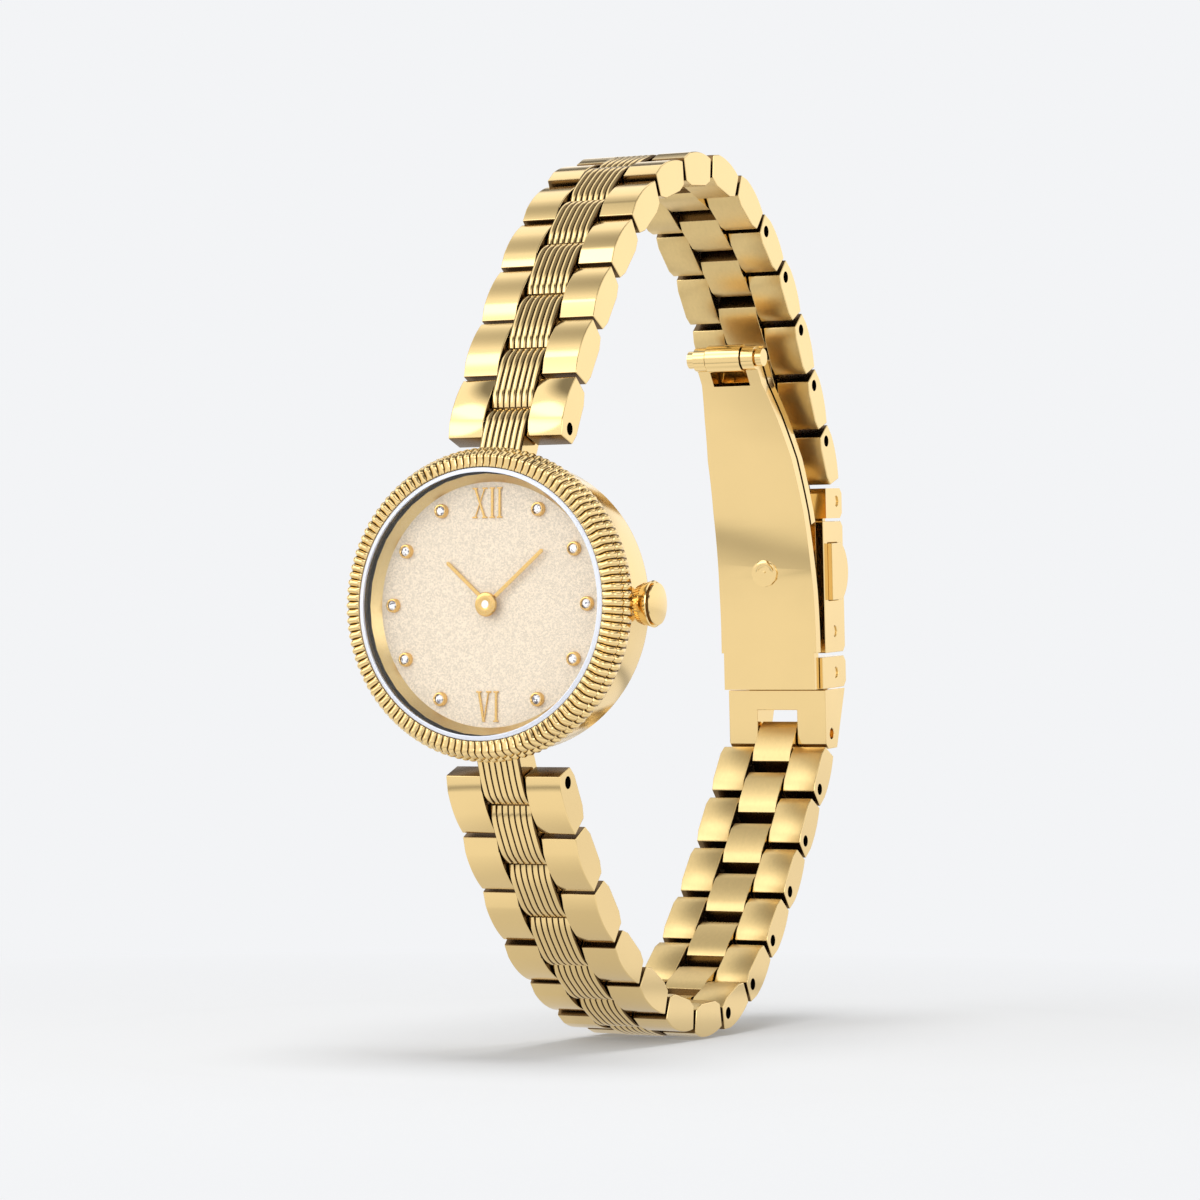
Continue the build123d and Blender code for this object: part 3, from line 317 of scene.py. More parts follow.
def gold_polished(settings, name="gold polished", depth=1.0):
    """Polished gold plate with a faint unevenness in its gloss. Depth above 1 darkens its tone."""
    shade = paint(name)
    place = shade.place()
    cloud = shade.noise(place, scale=260.0, detail=3.0)
    fine = shade.noise(place, scale=5200.0, detail=2.0)
    tone = [c ** depth for c in settings.gold]
    colour = shade.mix(cloud, tone, scaled(tone, 0.95))
    return shade.surface(colour, 0.1 + 0.05 * cloud, metallic=1.0, Normal=shade.bump(fine, strength=0.02))


def gold_satin(settings, name="gold satin", stretch=(1.0, 1.0, 1.0)):
    """Satin gold plate. A stretch below 1 draws its grain out along that axis."""
    shade = paint(name)
    place = shade.place()
    spread = shade.node("ShaderNodeMapping", {"Vector": place, "Scale": stretch})
    grain = shade.noise(spread, scale=4200.0, detail=4.0)
    cloud = shade.noise(place, scale=180.0, detail=2.0)
    colour = shade.mix(grain, settings.satin, scaled(settings.satin, 0.86))
    return shade.surface(colour, 0.3 + 0.1 * cloud, metallic=1.0, Normal=shade.bump(grain, strength=0.12))


def bare_metal(name, colour):
    shade = paint(name)
    grain = shade.noise(shade.place(), scale=3000.0, detail=3.0)
    return shade.surface(shade.mix(grain, colour, scaled(colour, 0.85)), 0.22 + 0.12 * grain, metallic=1.0)


def plastic(name, colour, rough=0.45):
    shade = paint(name)
    grain = shade.noise(shade.place(), scale=2400.0, detail=2.0)
    return shade.surface(shade.mix(grain, colour, scaled(colour, 0.9)), rough + 0.1 * grain)


def dial_lacquer(settings):
    """Champagne lacquer full of fine glitter."""
    shade = paint("dial glitter")
    flakes = shade.cells(shade.place(), scale=9500.0)
    pale = [min(1.0, c * 1.15) for c in settings.dial]
    deep = scaled(settings.dial, 0.86)
    colour = shade.ramp(flakes, [(0.1, deep), (0.5, settings.dial), (0.85, pale)])
    spark = flakes > 0.93
    return shade.surface(colour, 0.55 - 0.25 * spark, metallic=spark * 0.4)


def clear_glass():
    """The crystal: clear, with a gloss that grows as it is seen from the side."""
    shade = paint("crystal")
    clear = shade.node("ShaderNodeBsdfTransparent", {"Color": rgba((0.985, 0.99, 1.0))})
    gloss = shade.node("ShaderNodeBsdfGlossy", {"Color": rgba((1, 1, 1)), "Roughness": 0.03})
    facing = shade.node("ShaderNodeLayerWeight", {"Blend": 0.5}, output="Facing")
    edge = facing * facing * facing * 0.5 + 0.025
    return shade.finish(shade.node("ShaderNodeMixShader", [edge, clear, gloss]))


def crystal_rim_painted_highlight():
    """The crystal's bevel, painted pale blue-white all round: a painted highlight for the light it catches."""
    shade = paint("crystal rim, painted highlight")
    cloud = shade.noise(shade.place(), scale=120.0, detail=2.0)
    return shade.surface(shade.mix(cloud, (0.74, 0.77, 0.84), (0.62, 0.66, 0.76)), 0.12, Alpha=0.85)


def stone_painted_glints():
    shade = paint("stone")
    # Cells painted dark or white: painted reflections standing in for what the facets mirror
    facets = shade.cells(shade.place(), scale=8000.0)
    colour = shade.ramp(facets, [(0.2, (0.16, 0.16, 0.2)), (0.4, (0.95, 0.96, 1.0)), (0.5, (1, 1, 1))])
    return shade.surface(colour, 0.06, metallic=0.1)


# How bright the floor looks in the metal, by its distance from the watch in metres times FLOOR_SCALE
FLOOR_SCALE = 6.5
FLOOR_BANDS = [(0.0, 0.6), (0.15, 0.75), (0.22, 1.0), (0.37, 1.0), (0.45, 0.3), (0.54, 0.95), (1.0, 1.0)]


def backdrop_paint(settings):
    """The floor: lit by the lamps for its shadow, plain further out, and banded for the metal to mirror."""
    shade = paint("floor")
    lit = shade.node("ShaderNodeBsdfDiffuse", {"Color": rgba(settings.floor_tint)})
    away = shade.node("ShaderNodeVectorMath", [shade.place()], output="Value", operation="LENGTH")
    far = shade.node("ShaderNodeMapRange", {"Value": away, "From Min": 0.05, "From Max": 0.13})
    seen = shade.ray("Is Camera Ray") * (0.2 + far * 0.8)
    bare = shade.node("ShaderNodeMixShader", [seen, lit, shade.glow(rgba(settings.backdrop))])
    card = shade.glow(shade.ramp(away * FLOOR_SCALE, tinted(FLOOR_BANDS, (1.0, 0.98, 0.95))))
    gloss = shade.ray("Is Glossy Ray") * 0.85
    return shade.finish(shade.node("ShaderNodeMixShader", [gloss, bare, card]))


materials = {}


def material(name):
    return materials[name]


def make_materials(finish):
    materials.update({
        "gold": gold_polished(finish),
        "deep gold": gold_polished(finish, "gold hands", 1.5),
        "satin": gold_satin(finish),
        "brushed": gold_satin(finish, "gold brushed", (1.0, 0.6, 0.6)),
        # Gold painted near black as shade, for the gaps between links, the flute and rib valleys and the crown's
        # groove
        "recess": bare_metal("gold painted dark as shade", (0.17, 0.105, 0.045)),
        "steel": bare_metal("steel", (0.62, 0.61, 0.59)),
        # Steel painted near black as the shade inside the pin holes, for the pins and the holes' walls
        "painted shade pin": bare_metal("steel of the pins, painted dark as shade", (0.07, 0.05, 0.03)),
        "copper": bare_metal("copper wire", (0.70, 0.34, 0.18)),
        "dial": dial_lacquer(finish),
        "crystal": clear_glass(),
        # The crystal's rim, painted pale as a highlight
        "bevel": crystal_rim_painted_highlight(),
        "stone": stone_painted_glints(),
        "gasket": plastic("gasket", (0.03, 0.03, 0.03), 0.6),
        "plastic": plastic("movement plastic", (0.72, 0.72, 0.70)),
        "white": plastic("white cap", (0.86, 0.85, 0.82), 0.3),
    })


# Meshes

# How near two corners are one
MERGE = 0.001 * MM

# How far from its axis a closed profile stops, in millimetres
AXIS = 0.001

ORIGIN = Matrix.Identity(4)


def piece(name, mesh, body, replaced=()):
    """A finished piece that rides on a body, in place of some of the frame's nodes."""
    made = bpy.data.objects.new(name, mesh)
    bpy.context.scene.collection.objects.link(made)
    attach(made, body)
    if replaced:
        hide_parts(*replaced)


def mm(points):
    """Points given in millimetres, in metres."""
    return [tuple(value * MM for value in point) for point in points]


def circle(radius, steps):
    turns = [2 * pi * i / steps for i in range(steps)]
    return [(radius * cos(turn), radius * sin(turn)) for turn in turns]


def mesh_from(name, verts, faces, finishes, slots=None, matrix=ORIGIN):
    mesh = bpy.data.meshes.new(name)
    mesh.from_pydata([matrix @ Vector(v) for v in verts], [], faces)
    for item in finishes:
        mesh.materials.append(material(item))
    if slots:
        mesh.polygons.foreach_set("material_index", slots)
    tidy(mesh)
    return mesh


def shade_smooth(work, limit):
    """All faces smooth, with the edges sharper than the limit kept crisp."""
    for face in work.faces:
        face.smooth = True
    for edge in work.edges:
        edge.smooth = len(edge.link_faces) == 2 and edge.calc_face_angle(0) < limit


def tidy(mesh, limit=radians(32)):
    """Doubles merged, faces turned outwards and edges sharper than the limit kept crisp."""
    work = bmesh.new()
    work.from_mesh(mesh)
    bmesh.ops.remove_doubles(work, verts=work.verts, dist=MERGE / 2)
    bmesh.ops.recalc_face_normals(work, faces=work.faces)
    shade_smooth(work, limit)
    work.to_mesh(mesh)
    work.free()


def evaluated(source, name):
    """The object's mesh with its modifiers applied, and the object removed."""
    graph = bpy.context.evaluated_depsgraph_get()
    graph.update()
    mesh = bpy.data.meshes.new_from_object(source.evaluated_get(graph))
    mesh.name = name
    bpy.data.objects.remove(source)
    return mesh


def scratch(name, mesh):
    made = bpy.data.objects.new(name, mesh)
    bpy.context.scene.collection.objects.link(made)
    return made


def bevelled(mesh, width, segments=3, angle=radians(28)):
    """A mesh with its sharp edges rounded."""
    made = scratch("bevelled", mesh)
    round_off = made.modifiers.new("bevel", "BEVEL")
    round_off.width = width
    round_off.segments = segments
    round_off.limit_method = "ANGLE"
    round_off.angle_limit = angle
    round_off.harden_normals = True
    level = made.modifiers.new("normals", "WEIGHTED_NORMAL")
    level.keep_sharp = True
    return evaluated(made, mesh.name)


def finished_copy(node, width, finish, angle=radians(28), segments=3):
    """A node's own shape with rounded edges, as a new mesh in the node's place."""
    mesh = frame["nodes"][node].data.copy()
    mesh.materials.clear()
    mesh.materials.append(material(finish))
    work = bmesh.new()
    work.from_mesh(mesh)
    bmesh.ops.remove_doubles(work, verts=work.verts, dist=MERGE)
    bmesh.ops.dissolve_limit(work, angle_limit=radians(1), verts=work.verts, edges=work.edges)
    for face in work.faces:
        face.material_index = 0
    shade_smooth(work, angle)
    work.to_mesh(mesh)
    work.free()
    return bevelled(mesh, width, segments, angle)


def lathe(name, profile, finish, steps=192, matrix=WATCH, closed=True):
    """A profile of (radius, y) points spun about the watch's axis, or about the Y axis of a matrix."""
    count = len(profile)
    verts = []
    for step in range(steps):
        angle = 2 * pi * step / steps
        verts += [(r * sin(angle), y, r * cos(angle)) for r, y in profile]
    faces = []
    for step in range(steps):
        here, after = step * count, (step + 1) % steps * count
        for row in range(count if closed else count - 1):
            below = (row + 1) % count
            faces.append((here + row, after + row, after + below, here + below))
    return mesh_from(name, verts, faces, [finish], matrix=matrix)


def arc_points(start, middle, end, count):
    """Points on the circle through three points, ends included."""
    (x1, y1), (x2, y2), (x3, y3) = start, middle, end
    d = 2 * (x1 * (y2 - y3) + x2 * (y3 - y1) + x3 * (y1 - y2))
    a, b, c = x1 * x1 + y1 * y1, x2 * x2 + y2 * y2, x3 * x3 + y3 * y3
    cx = (a * (y2 - y3) + b * (y3 - y1) + c * (y1 - y2)) / d
    cy = (a * (x3 - x2) + b * (x1 - x3) + c * (x2 - x1)) / d
    radius = hypot(x1 - cx, y1 - cy)
    first, last = atan2(y1 - cy, x1 - cx), atan2(y3 - cy, x3 - cx)
    turn = (last - first + pi) % (2 * pi) - pi
    angles = [first + turn * i / (count - 1) for i in range(count)]
    return [(cx + radius * cos(angle), cy + radius * sin(angle)) for angle in angles]


# Geometry Nodes


class Tree:
    """A Geometry Nodes tree built in the script."""

    def __init__(self, name, sizes=()):
        self.tree = bpy.data.node_groups.new(name, "GeometryNodeTree")
        face = self.tree.interface
        face.new_socket("Geometry", in_out="INPUT", socket_type="NodeSocketGeometry")
        for label, kind, value in sizes:
            made = face.new_socket(label, in_out="INPUT", socket_type=kind)
            made.default_value = value
        face.new_socket("Geometry", in_out="OUTPUT", socket_type="NodeSocketGeometry")
        self.entry = self.tree.nodes.new("NodeGroupInput")
        self.exit = self.tree.nodes.new("NodeGroupOutput")

    def size(self, label):
        return self.entry.outputs[label]

    def node(self, kind, values=(), **settings):
        made = self.tree.nodes.new(kind)
        for key, value in settings.items():
            setattr(made, key, value)
        items = values.items() if isinstance(values, dict) else enumerate(values)
        for key, value in items:
            if isinstance(value, bpy.types.NodeSocket):
                self.tree.links.new(value, made.inputs[key])
            else:
                made.inputs[key].default_value = value
        return made

    def maths(self, operation, first, second=0.0):
        return self.node("ShaderNodeMath", [first, second], operation=operation).outputs[0]

    def end(self, socket, name):
        real = self.node("GeometryNodeRealizeInstances", {0: socket})
        finish = self.node("GeometryNodeSetMaterial", {"Geometry": real.outputs[0]})
        finish.inputs["Material"].default_value = material(name)
        self.tree.links.new(finish.outputs[0], self.exit.inputs[0])

    def grow(self, mesh, name, **sizes):
        """The tree run on a mesh, as a plain mesh."""
        made = scratch(name, mesh)
        run = made.modifiers.new("nodes", "NODES")
        run.node_group = self.tree
        for item in self.tree.interface.items_tree:
            if item.item_type == "SOCKET" and item.in_out == "INPUT" and item.name in sizes:
                run[item.identifier] = sizes[item.name]
        return evaluated(made, name)


def row_tree(name, finish):
    """Copies of a mesh side by side along X."""
    tree = Tree("side by side: " + name, [("Count", "NodeSocketInt", 7), ("Step", "NodeSocketFloat", 1.0)])
    spread = tree.maths("MULTIPLY", tree.maths("SUBTRACT", tree.size("Count"), 1.0), tree.size("Step"))
    start = tree.node("ShaderNodeCombineXYZ", {"X": tree.maths("MULTIPLY", spread, -0.5)})
    step = tree.node("ShaderNodeCombineXYZ", {"X": tree.size("Step")})
    line = tree.node("GeometryNodeMeshLine", {"Count": tree.size("Count"), "Start Location": start.outputs[0],
                                              "Offset": step.outputs[0]}, mode="OFFSET")
    copies = tree.node("GeometryNodeInstanceOnPoints", {"Points": line.outputs[0],
                                                        "Instance": tree.size("Geometry")})
    tree.end(copies.outputs[0], finish)
    return tree


def ring_tree(name, finish):
    """Copies of a mesh turned about the Y axis, without every Skip-th one."""
    tree = Tree("round the axis: " + name, [("Count", "NodeSocketInt", 120), ("Skip", "NodeSocketInt", 0)])
    points = tree.node("GeometryNodeMeshLine", {"Count": tree.size("Count"), "Offset": (0.0, 0.0, 0.0)},
                       mode="OFFSET")
    index = tree.node("GeometryNodeInputIndex").outputs[0]
    turn = tree.maths("DIVIDE", tree.maths("MULTIPLY", index, 2 * pi), tree.size("Count"))
    spin = tree.node("ShaderNodeCombineXYZ", {"Y": turn})
    every = tree.maths("MODULO", index, tree.size("Skip"))
    keep = tree.node("FunctionNodeCompare", {0: every, 1: 0.5}, operation="GREATER_THAN", data_type="FLOAT")
    none = tree.node("FunctionNodeCompare", {0: tree.size("Skip"), 1: 0.5}, operation="LESS_THAN",
                     data_type="FLOAT")
    chosen = tree.node("FunctionNodeBooleanMath", [keep.outputs[0], none.outputs[0]], operation="OR")
    copies = tree.node("GeometryNodeInstanceOnPoints", {
        "Points": points.outputs[0], "Instance": tree.size("Geometry"), "Selection": chosen.outputs[0],
        "Rotation": spin.outputs[0]})
    tree.end(copies.outputs[0], finish)
    return tree


# Bracelet

# The finishes of a link's mesh, by slot. The last slot is gold painted dark as shade, for faces in the gaps
# between pieces
LINK_FINISHES = ["gold", "brushed", "recess"]
GOLD, BRUSHED, PAINTED_SHADE = range(3)

# The lug's pin from the watch's middle, as (y, z), its tilt, how far it starts before the pin, and how
# deep its root is sunk in the band
LUG = (4.1 * MM, 13.5 * MM)
LUG_TILT = radians(26.0)
LUG_START = 2.6 * MM
LUG_SINK = 0.15 * MM

# A centre piece is cut back by this at its start, to clear the link before it
NECK = 0.72 * MM

# The inner side of the last centre piece as (y, z) in millimetres: open, where it hooks over a pin
HOOK = [(-0.64, 6.8), (-0.68, 5.9), (-0.48, 5.43), (0.0, 5.27), (1.14, 5.27), (1.3, 4.3)]

# The last link, counted from the case, whose pin stays hidden. The first link's shows too.
LAST_PLAIN = {"upper": 9, "lower": 7}


def outer_outline(links):
    """A link's side as (y, z) points, its crest an arc, going round."""
    near = links.gap / 2 - links.lead
    far = near + links.pitch - links.gap
    facet_end = near + links.facet
    top = (facet_end + far - links.lead) / 2
    crest = arc_points((-links.facet_rise, facet_end), (-links.crown, top), (-links.end_rise, far), 14)
    return crest + [
        (links.end_rise, far - links.taper),
        (links.drop, far - links.taper - links.chamfer),
        (links.drop, near + links.taper + links.chamfer),
        (links.end_rise, near + links.taper),
        (-links.end_rise, near),
    ]


def side_slot(links, a, b):
    """The slot of the face between two corners of a link's side: ends painted dark as shade, and satin inner
    faces.
    """
    if abs(a[0] - b[0]) > links.end_rise and abs(a[1] - b[1]) < 3 * links.taper:
        return PAINTED_SHADE
    just_under = 0.99 * links.end_rise
    return BRUSHED if min(a[0], b[0]) > just_under else GOLD


def prism(name, outline, x0, x1, finishes, links=None, caps=(0, 0)):
    """An outline in (y, z) made solid from x0 to x1. With links, its sides get their finishes."""
    count = len(outline)
    verts = [(x0, y, z) for y, z in outline] + [(x1, y, z) for y, z in outline]
    faces = [tuple(range(count)), tuple(range(2 * count - 1, count - 1, -1))]
    slots = list(caps)
    for i in range(count):
        j = (i + 1) % count
        faces.append((i, i + count, j + count, j))
        slots.append(0 if links is None else side_slot(links, outline[i], outline[j]))
    return mesh_from(name, verts, faces, finishes, slots)


def pin(name, radius, x0, x1, steps=32):
    # Pins are painted near black as the shade in their holes
    return prism(name, circle(radius, steps), x0, x1, ["painted shade pin"])


def drill(mesh, radius, x0, x1):
    """A round hole along X cut through a mesh."""
    cutter = scratch("cutter", pin("cutter", radius, x0, x1))
    made = scratch("drilled", mesh)
    cut = made.modifiers.new("cut", "BOOLEAN")
    cut.operation = "DIFFERENCE"
    cut.solver = "EXACT"
    cut.object = cutter
    # The cutter's pin material goes onto the hole's walls, painting them dark as shade
    cut.material_mode = "TRANSFER"
    result = evaluated(made, mesh.name)
    bpy.data.objects.remove(cutter)
    hardened = result.attributes.get("custom_normal")
    if hardened:
        result.attributes.remove(hardened)
    tidy(result)
    square_to_x = 0.99
    for polygon in result.polygons:
        polygon.use_smooth = abs(polygon.normal.x) < square_to_x
    return result


def joined(name, meshes):
    """Several meshes made one, each face with its own material."""
    names = []
    for mesh in meshes:
        for item in mesh.materials:
            if item not in names:
                names.append(item)
    work = bmesh.new()
    for mesh in meshes:
        start = len(work.faces)
        work.from_mesh(mesh)
        work.faces.ensure_lookup_table()
        for face in work.faces[start:]:
            face.material_index = names.index(mesh.materials[face.material_index])
    made = bpy.data.meshes.new(name)
    work.to_mesh(made)
    work.free()
    for item in names:
        made.materials.append(item)
    return made


def mirrored(mesh):
    """A copy of a mesh on the other side of X = 0."""
    copy = mesh.copy()
    copy.transform(Matrix.Scale(-1, 4, (1, 0, 0)))
    copy.flip_normals()
    return copy


def outer_pair(links, drilled):
    """Both outer pieces of a link, with the pin between them and its ends where the holes show. The pins and the
    holes' walls are painted dark as shade.
    """
    inside = links.centre / 2 + links.side_gap
    outside = links.width / 2
    # The inner end, facing the centre piece across the side gap, is painted dark as shade
    right = prism("outer", outer_outline(links), inside, outside, LINK_FINISHES, links, (PAINTED_SHADE, GOLD))
    meshes = [bevelled(right, links.bevel)]
    if drilled:
        meshes = [drill(meshes[0], links.hole, inside - links.gap, outside + links.gap),
                  pin("pin", links.hole, inside, outside - links.recess, 24)]
    meshes += [mirrored(mesh) for mesh in meshes]
    meshes.append(pin("pin middle", 0.98 * links.hole, -inside, inside, 16))
    return joined("outer pair", meshes)


def rib_path(near, far, low, high, count=18, squareness=3.2):
    """The arched line of a rib as (y, z) points."""
    points = []
    for i in range(count):
        share = i / (count - 1)
        arch = 1 - abs(2 * share - 1) ** squareness
        points.append((-(low + (high - low) * arch), near + (far - near) * share))
    return points


def rib(links, path, valleys):
    """One half-round rib that follows a path: its crest and ends, or its lower sides, painted dark as shade."""
    half = links.centre / links.ribs / 2
    depth = links.rib_depth
    sides = 9
    verts, faces = [], []
    for y, z in path:
        for k in range(sides):
            turn = pi * k / (sides - 1)
            verts.append((-cos(turn) * half, y + depth * (1 - sin(turn)), z))
        verts += [(half, y + 2 * depth, z), (-half, y + 2 * depth, z)]
    ring = sides + 2
    for i in range(len(path) - 1):
        for k in range(ring):
            j = (k + 1) % ring
            crest = 1 < k < sides - 3
            if crest != valleys:
                faces.append((i * ring + k, (i + 1) * ring + k, (i + 1) * ring + j, i * ring + j))
    if not valleys:
        last = (len(path) - 1) * ring
        faces += [tuple(range(ring)), tuple(range(last + ring - 1, last - 1, -1))]
    return mesh_from("rib", verts, faces, ["gold"])


def ribbed(links, path, back, name):
    """A ribbed piece: the ribs in front and a plain body from them to the back outline."""
    rows = []
    # The ribs' crests in gold, and their lower sides painted dark as shade
    for finish in ("gold", "recess"):
        one = rib(links, path, finish == "recess")
        rows.append(row_tree(name + " " + finish, finish).grow(
            one, "ribs", Count=links.ribs, Step=links.centre / links.ribs))
    seat = 1.2 * links.rib_depth
    outline = [(y + seat, z) for y, z in path] + back
    body = prism("body", outline, -links.centre / 2, links.centre / 2, LINK_FINISHES, links)
    return joined(name, [*rows, bevelled(body, 0.6 * links.bevel, 2)])


def centre_piece(links, hooked=False):
    """A link's ribbed centre piece. The hooked one reaches over the clasp's pin."""
    near = links.overhang + links.gap / 2
    far = near + links.pitch - links.gap
    path = rib_path(near, far, links.end_rise, links.crown)
    end = mm(HOOK) if hooked else [
        (links.end_rise, far - links.taper),
        (links.drop, far - links.taper - links.chamfer),
    ]
    start = [(links.drop, near + NECK + links.chamfer), (links.end_rise, near + NECK)]
    return ribbed(links, path, end + start, "centre")


def lug_piece(links, case):
    """The ribbed tongue that joins the case to a link."""
    far = links.overhang - links.gap / 2
    root = -(hypot(*LUG) - case.band + LUG_SINK)
    path = [(-links.crown + LUG_SINK, root)]
    path += [(y, z) for y, z in rib_path(-LUG_START, far, links.end_rise, links.crown) if z > 0.5 * root]
    back = [
        (links.end_rise, far - links.taper),
        (links.drop, far - links.taper - links.chamfer),
        (links.drop, root),
    ]
    return ribbed(links, path, back, "lug")


class WATCH_OT_links(Operator):
    """Makes every link of the bracelet"""

    bl_idname = "watch.links"
    bl_label = "Links"

    def execute(self, context):
        links = context.scene.watch_links
        pairs = {flag: outer_pair(links, flag) for flag in (False, True)}
        centre = centre_piece(links)
        hooked = centre_piece(links, hooked=True)
        for side in ("upper", "lower"):
            names = chain(side)
            for number in range(1, len(names) + 1):
                node = f"{side}_link_{number:02d}"
                drilled = number == 1 or number > LAST_PLAIN[side]
                middle = hooked if node == "upper_link_14" else centre
                mesh = joined(node + "_mesh", [pairs[drilled], middle])
                mesh.transform(link_matrix(side, number))
                piece(node + "_finished", mesh, body_of_node[node], (node,))
        return {"FINISHED"}


# Case


class WATCH_OT_case(Operator):
    """Makes the bezel, the band with its lugs, the back, the crown and the crystal"""

    bl_idname = "watch.case"
    bl_label = "Case"

    def execute(self, context):
        case = context.scene.watch_case
        links = context.scene.watch_links
        self.bezel(case)
        self.band(case, links)
        self.crystal()
        self.crown()
        return {"FINISHED"}

    def bezel(self, case):
        """The fluted ring: one flute, copied round the axis."""
        line = mm([(10.42, -1.38), (10.5, -1.44), (10.7, -1.47), (10.9, -1.47), (11.06, -1.48), (11.22, -1.5),
                   (11.4, -1.42), (11.58, -1.2), (11.72, -0.9), (11.82, -0.5), (11.72, -0.36), (11.93, -0.22),
                   (12.0, 0.1), (12.0, 0.45), (11.92, 0.7), (11.8, 0.9)])
        count, steps = len(line), 10
        verts = []
        for step in range(steps + 1):
            share = step / steps - 0.5
            angle = 2 * pi * share / case.flutes
            depth = case.flute_depth * (1 - abs(cos(pi * share)))
            for i, (r, y) in enumerate(line):
                ahead, behind = line[min(i + 1, count - 1)], line[max(i - 1, 0)]
                run, rise = ahead[0] - behind[0], ahead[1] - behind[1]
                sunk = depth * min(1.0, i / 1.5, count - 1 - i) / hypot(run, rise)
                r, y = r - sunk * rise, y + sunk * run
                verts.append((r * sin(angle), y, r * cos(angle)))
        rings = []
        # The flute's edge strips, in the valleys between flutes, are painted dark as shade
        for finish, chosen in (("gold", range(1, steps - 1)), ("recess", (0, steps - 1))):
            faces = [(a, a + count, a + count + 1, a + 1) for step in chosen
                     for a in range(step * count, (step + 1) * count - 1)]
            flute = mesh_from("flute", verts, faces, ["gold"])
            rings.append(ring_tree("bezel " + finish, finish).grow(flute, "bezel flutes", Count=case.flutes))
        inside = mm([(10.42, -1.38), (10.4, -1.3), (10.4, -0.35), (10.85, -0.35), (10.85, 0.9), (11.8, 0.9)])
        rings.append(lathe("bezel inside", inside, "gold", matrix=ORIGIN, closed=False))
        mesh = joined("bezel mesh", rings)
        mesh.transform(WATCH)
        tidy(mesh, radians(50))
        piece("bezel_finished", mesh, "case", ("bezel",))

    def band(self, case, links):
        """The case band with its two lugs, and the back."""
        edge, back, seam = 0.28 * MM, 5.3 * MM, 0.9 * MM
        mouth, bore = 10.3 * MM, 10.2 * MM
        corner = 0.29 * edge
        profile = [(mouth, seam), (case.band - 0.3 * edge, seam), (case.band, seam + 0.4 * edge)]
        profile += arc_points((case.band, back - edge), (case.band - corner, back - corner),
                              (case.band - edge, back), 5)
        profile += [(bore, back), (bore, seam)]
        meshes = [lathe("band", profile, "gold", matrix=ORIGIN)]
        lug = lug_piece(links, case)
        y, z = LUG
        for place in (
            Matrix.Translation((0, y, z)) @ Matrix.Rotation(-LUG_TILT, 4, "X"),
            Matrix.Translation((0, y, -z)) @ Matrix.Rotation(LUG_TILT, 4, "X") @ Matrix.Rotation(pi, 4, "Y"),
        ):
            copy = lug.copy()
            copy.transform(place)
            meshes.append(copy)
        mesh = joined("case mesh", meshes)
        mesh.transform(WATCH)
        piece("case_middle_finished", mesh, "case", ("case_middle",))
        cover = [(AXIS, 6.5), *arc_points((9.4, 6.5), (9.62, 6.44), (9.8, 6.3), 4),
                 (10.75, 5.42), (10.8, 5.3), (AXIS, 5.3)]
        piece("case_back_finished", lathe("back", mm(cover), "satin"), "case", ("case_back",))

    def crystal(self):
        clear = mm([(AXIS, -1.4), (10.04, -1.4), (10.04, -0.47), (AXIS, -0.47)])
        piece("crystal_clear", lathe("crystal", clear, "crystal"), "case", ("crystal",))
        # The rim's pale colour is a painted highlight
        rim = mm([(10.0, -1.42), (10.06, -1.44), (10.34, -1.3), (10.36, -1.1), (10.05, -1.1)])
        piece("crystal_rim", lathe("rim", rim, "bevel"), "case")

    def crown(self):
        """The crown: a toothed barrel, a groove painted dark as shade, a rim and a domed face, turned about its
        own axis.
        """
        start, face, dome_radius, dome = 11.45, 13.14, 1.58, 0.15
        barrel = [(1.0, start), (1.3, start), (1.36, start + 0.08), (1.56, start + 0.5), (1.7, start + 0.95),
                  (1.77, start + 1.12), (1.78, start + 1.2), (1.7, start + 1.27), (1.46, start + 1.28)]
        groove = [(1.46, start + 1.28), (1.46, start + 1.4)]
        rim = [(1.46, start + 1.4), (1.56, start + 1.41), (1.62, start + 1.47), (dome_radius, start + 1.54)]
        sphere = (dome_radius ** 2 + dome ** 2) / (2 * dome)
        for k in range(1, 9):
            r = dome_radius * (1 - k / 8)
            rim.append((max(r, AXIS), face - sphere + sqrt(sphere ** 2 - r ** 2)))
        closing = [(AXIS, start), (1.0, start)]
        parts = [lathe("crown", mm(line), finish, 64, ORIGIN, False)
                 for line, finish in ((barrel, "gold"), (groove, "recess"), (rim, "gold"), (closing, "gold"))]
        half_tooth = 0.06
        tooth = mm([(x, start + y, z) for x in (-half_tooth, half_tooth)
                    for y, z in ((0.02, 1.2), (0.02, 1.42), (0.5, 1.62), (0.5, 1.45))])
        sides = [(0, 1, 2, 3), (7, 6, 5, 4), (0, 4, 5, 1), (1, 5, 6, 2), (2, 6, 7, 3), (3, 7, 4, 0)]
        block = mesh_from("tooth", tooth, sides, ["gold"])
        parts.append(ring_tree("crown teeth", "gold").grow(block, "crown teeth", Count=36))
        mesh = joined("crown", parts)
        stem_y = 2.9 * MM
        mesh.transform(WATCH @ Matrix.Translation((0, stem_y, 0)) @ Matrix.Rotation(-pi / 2, 4, "Z"))
        tidy(mesh)
        piece("crown_finished", mesh, "crown", ("crown",))


# Dial


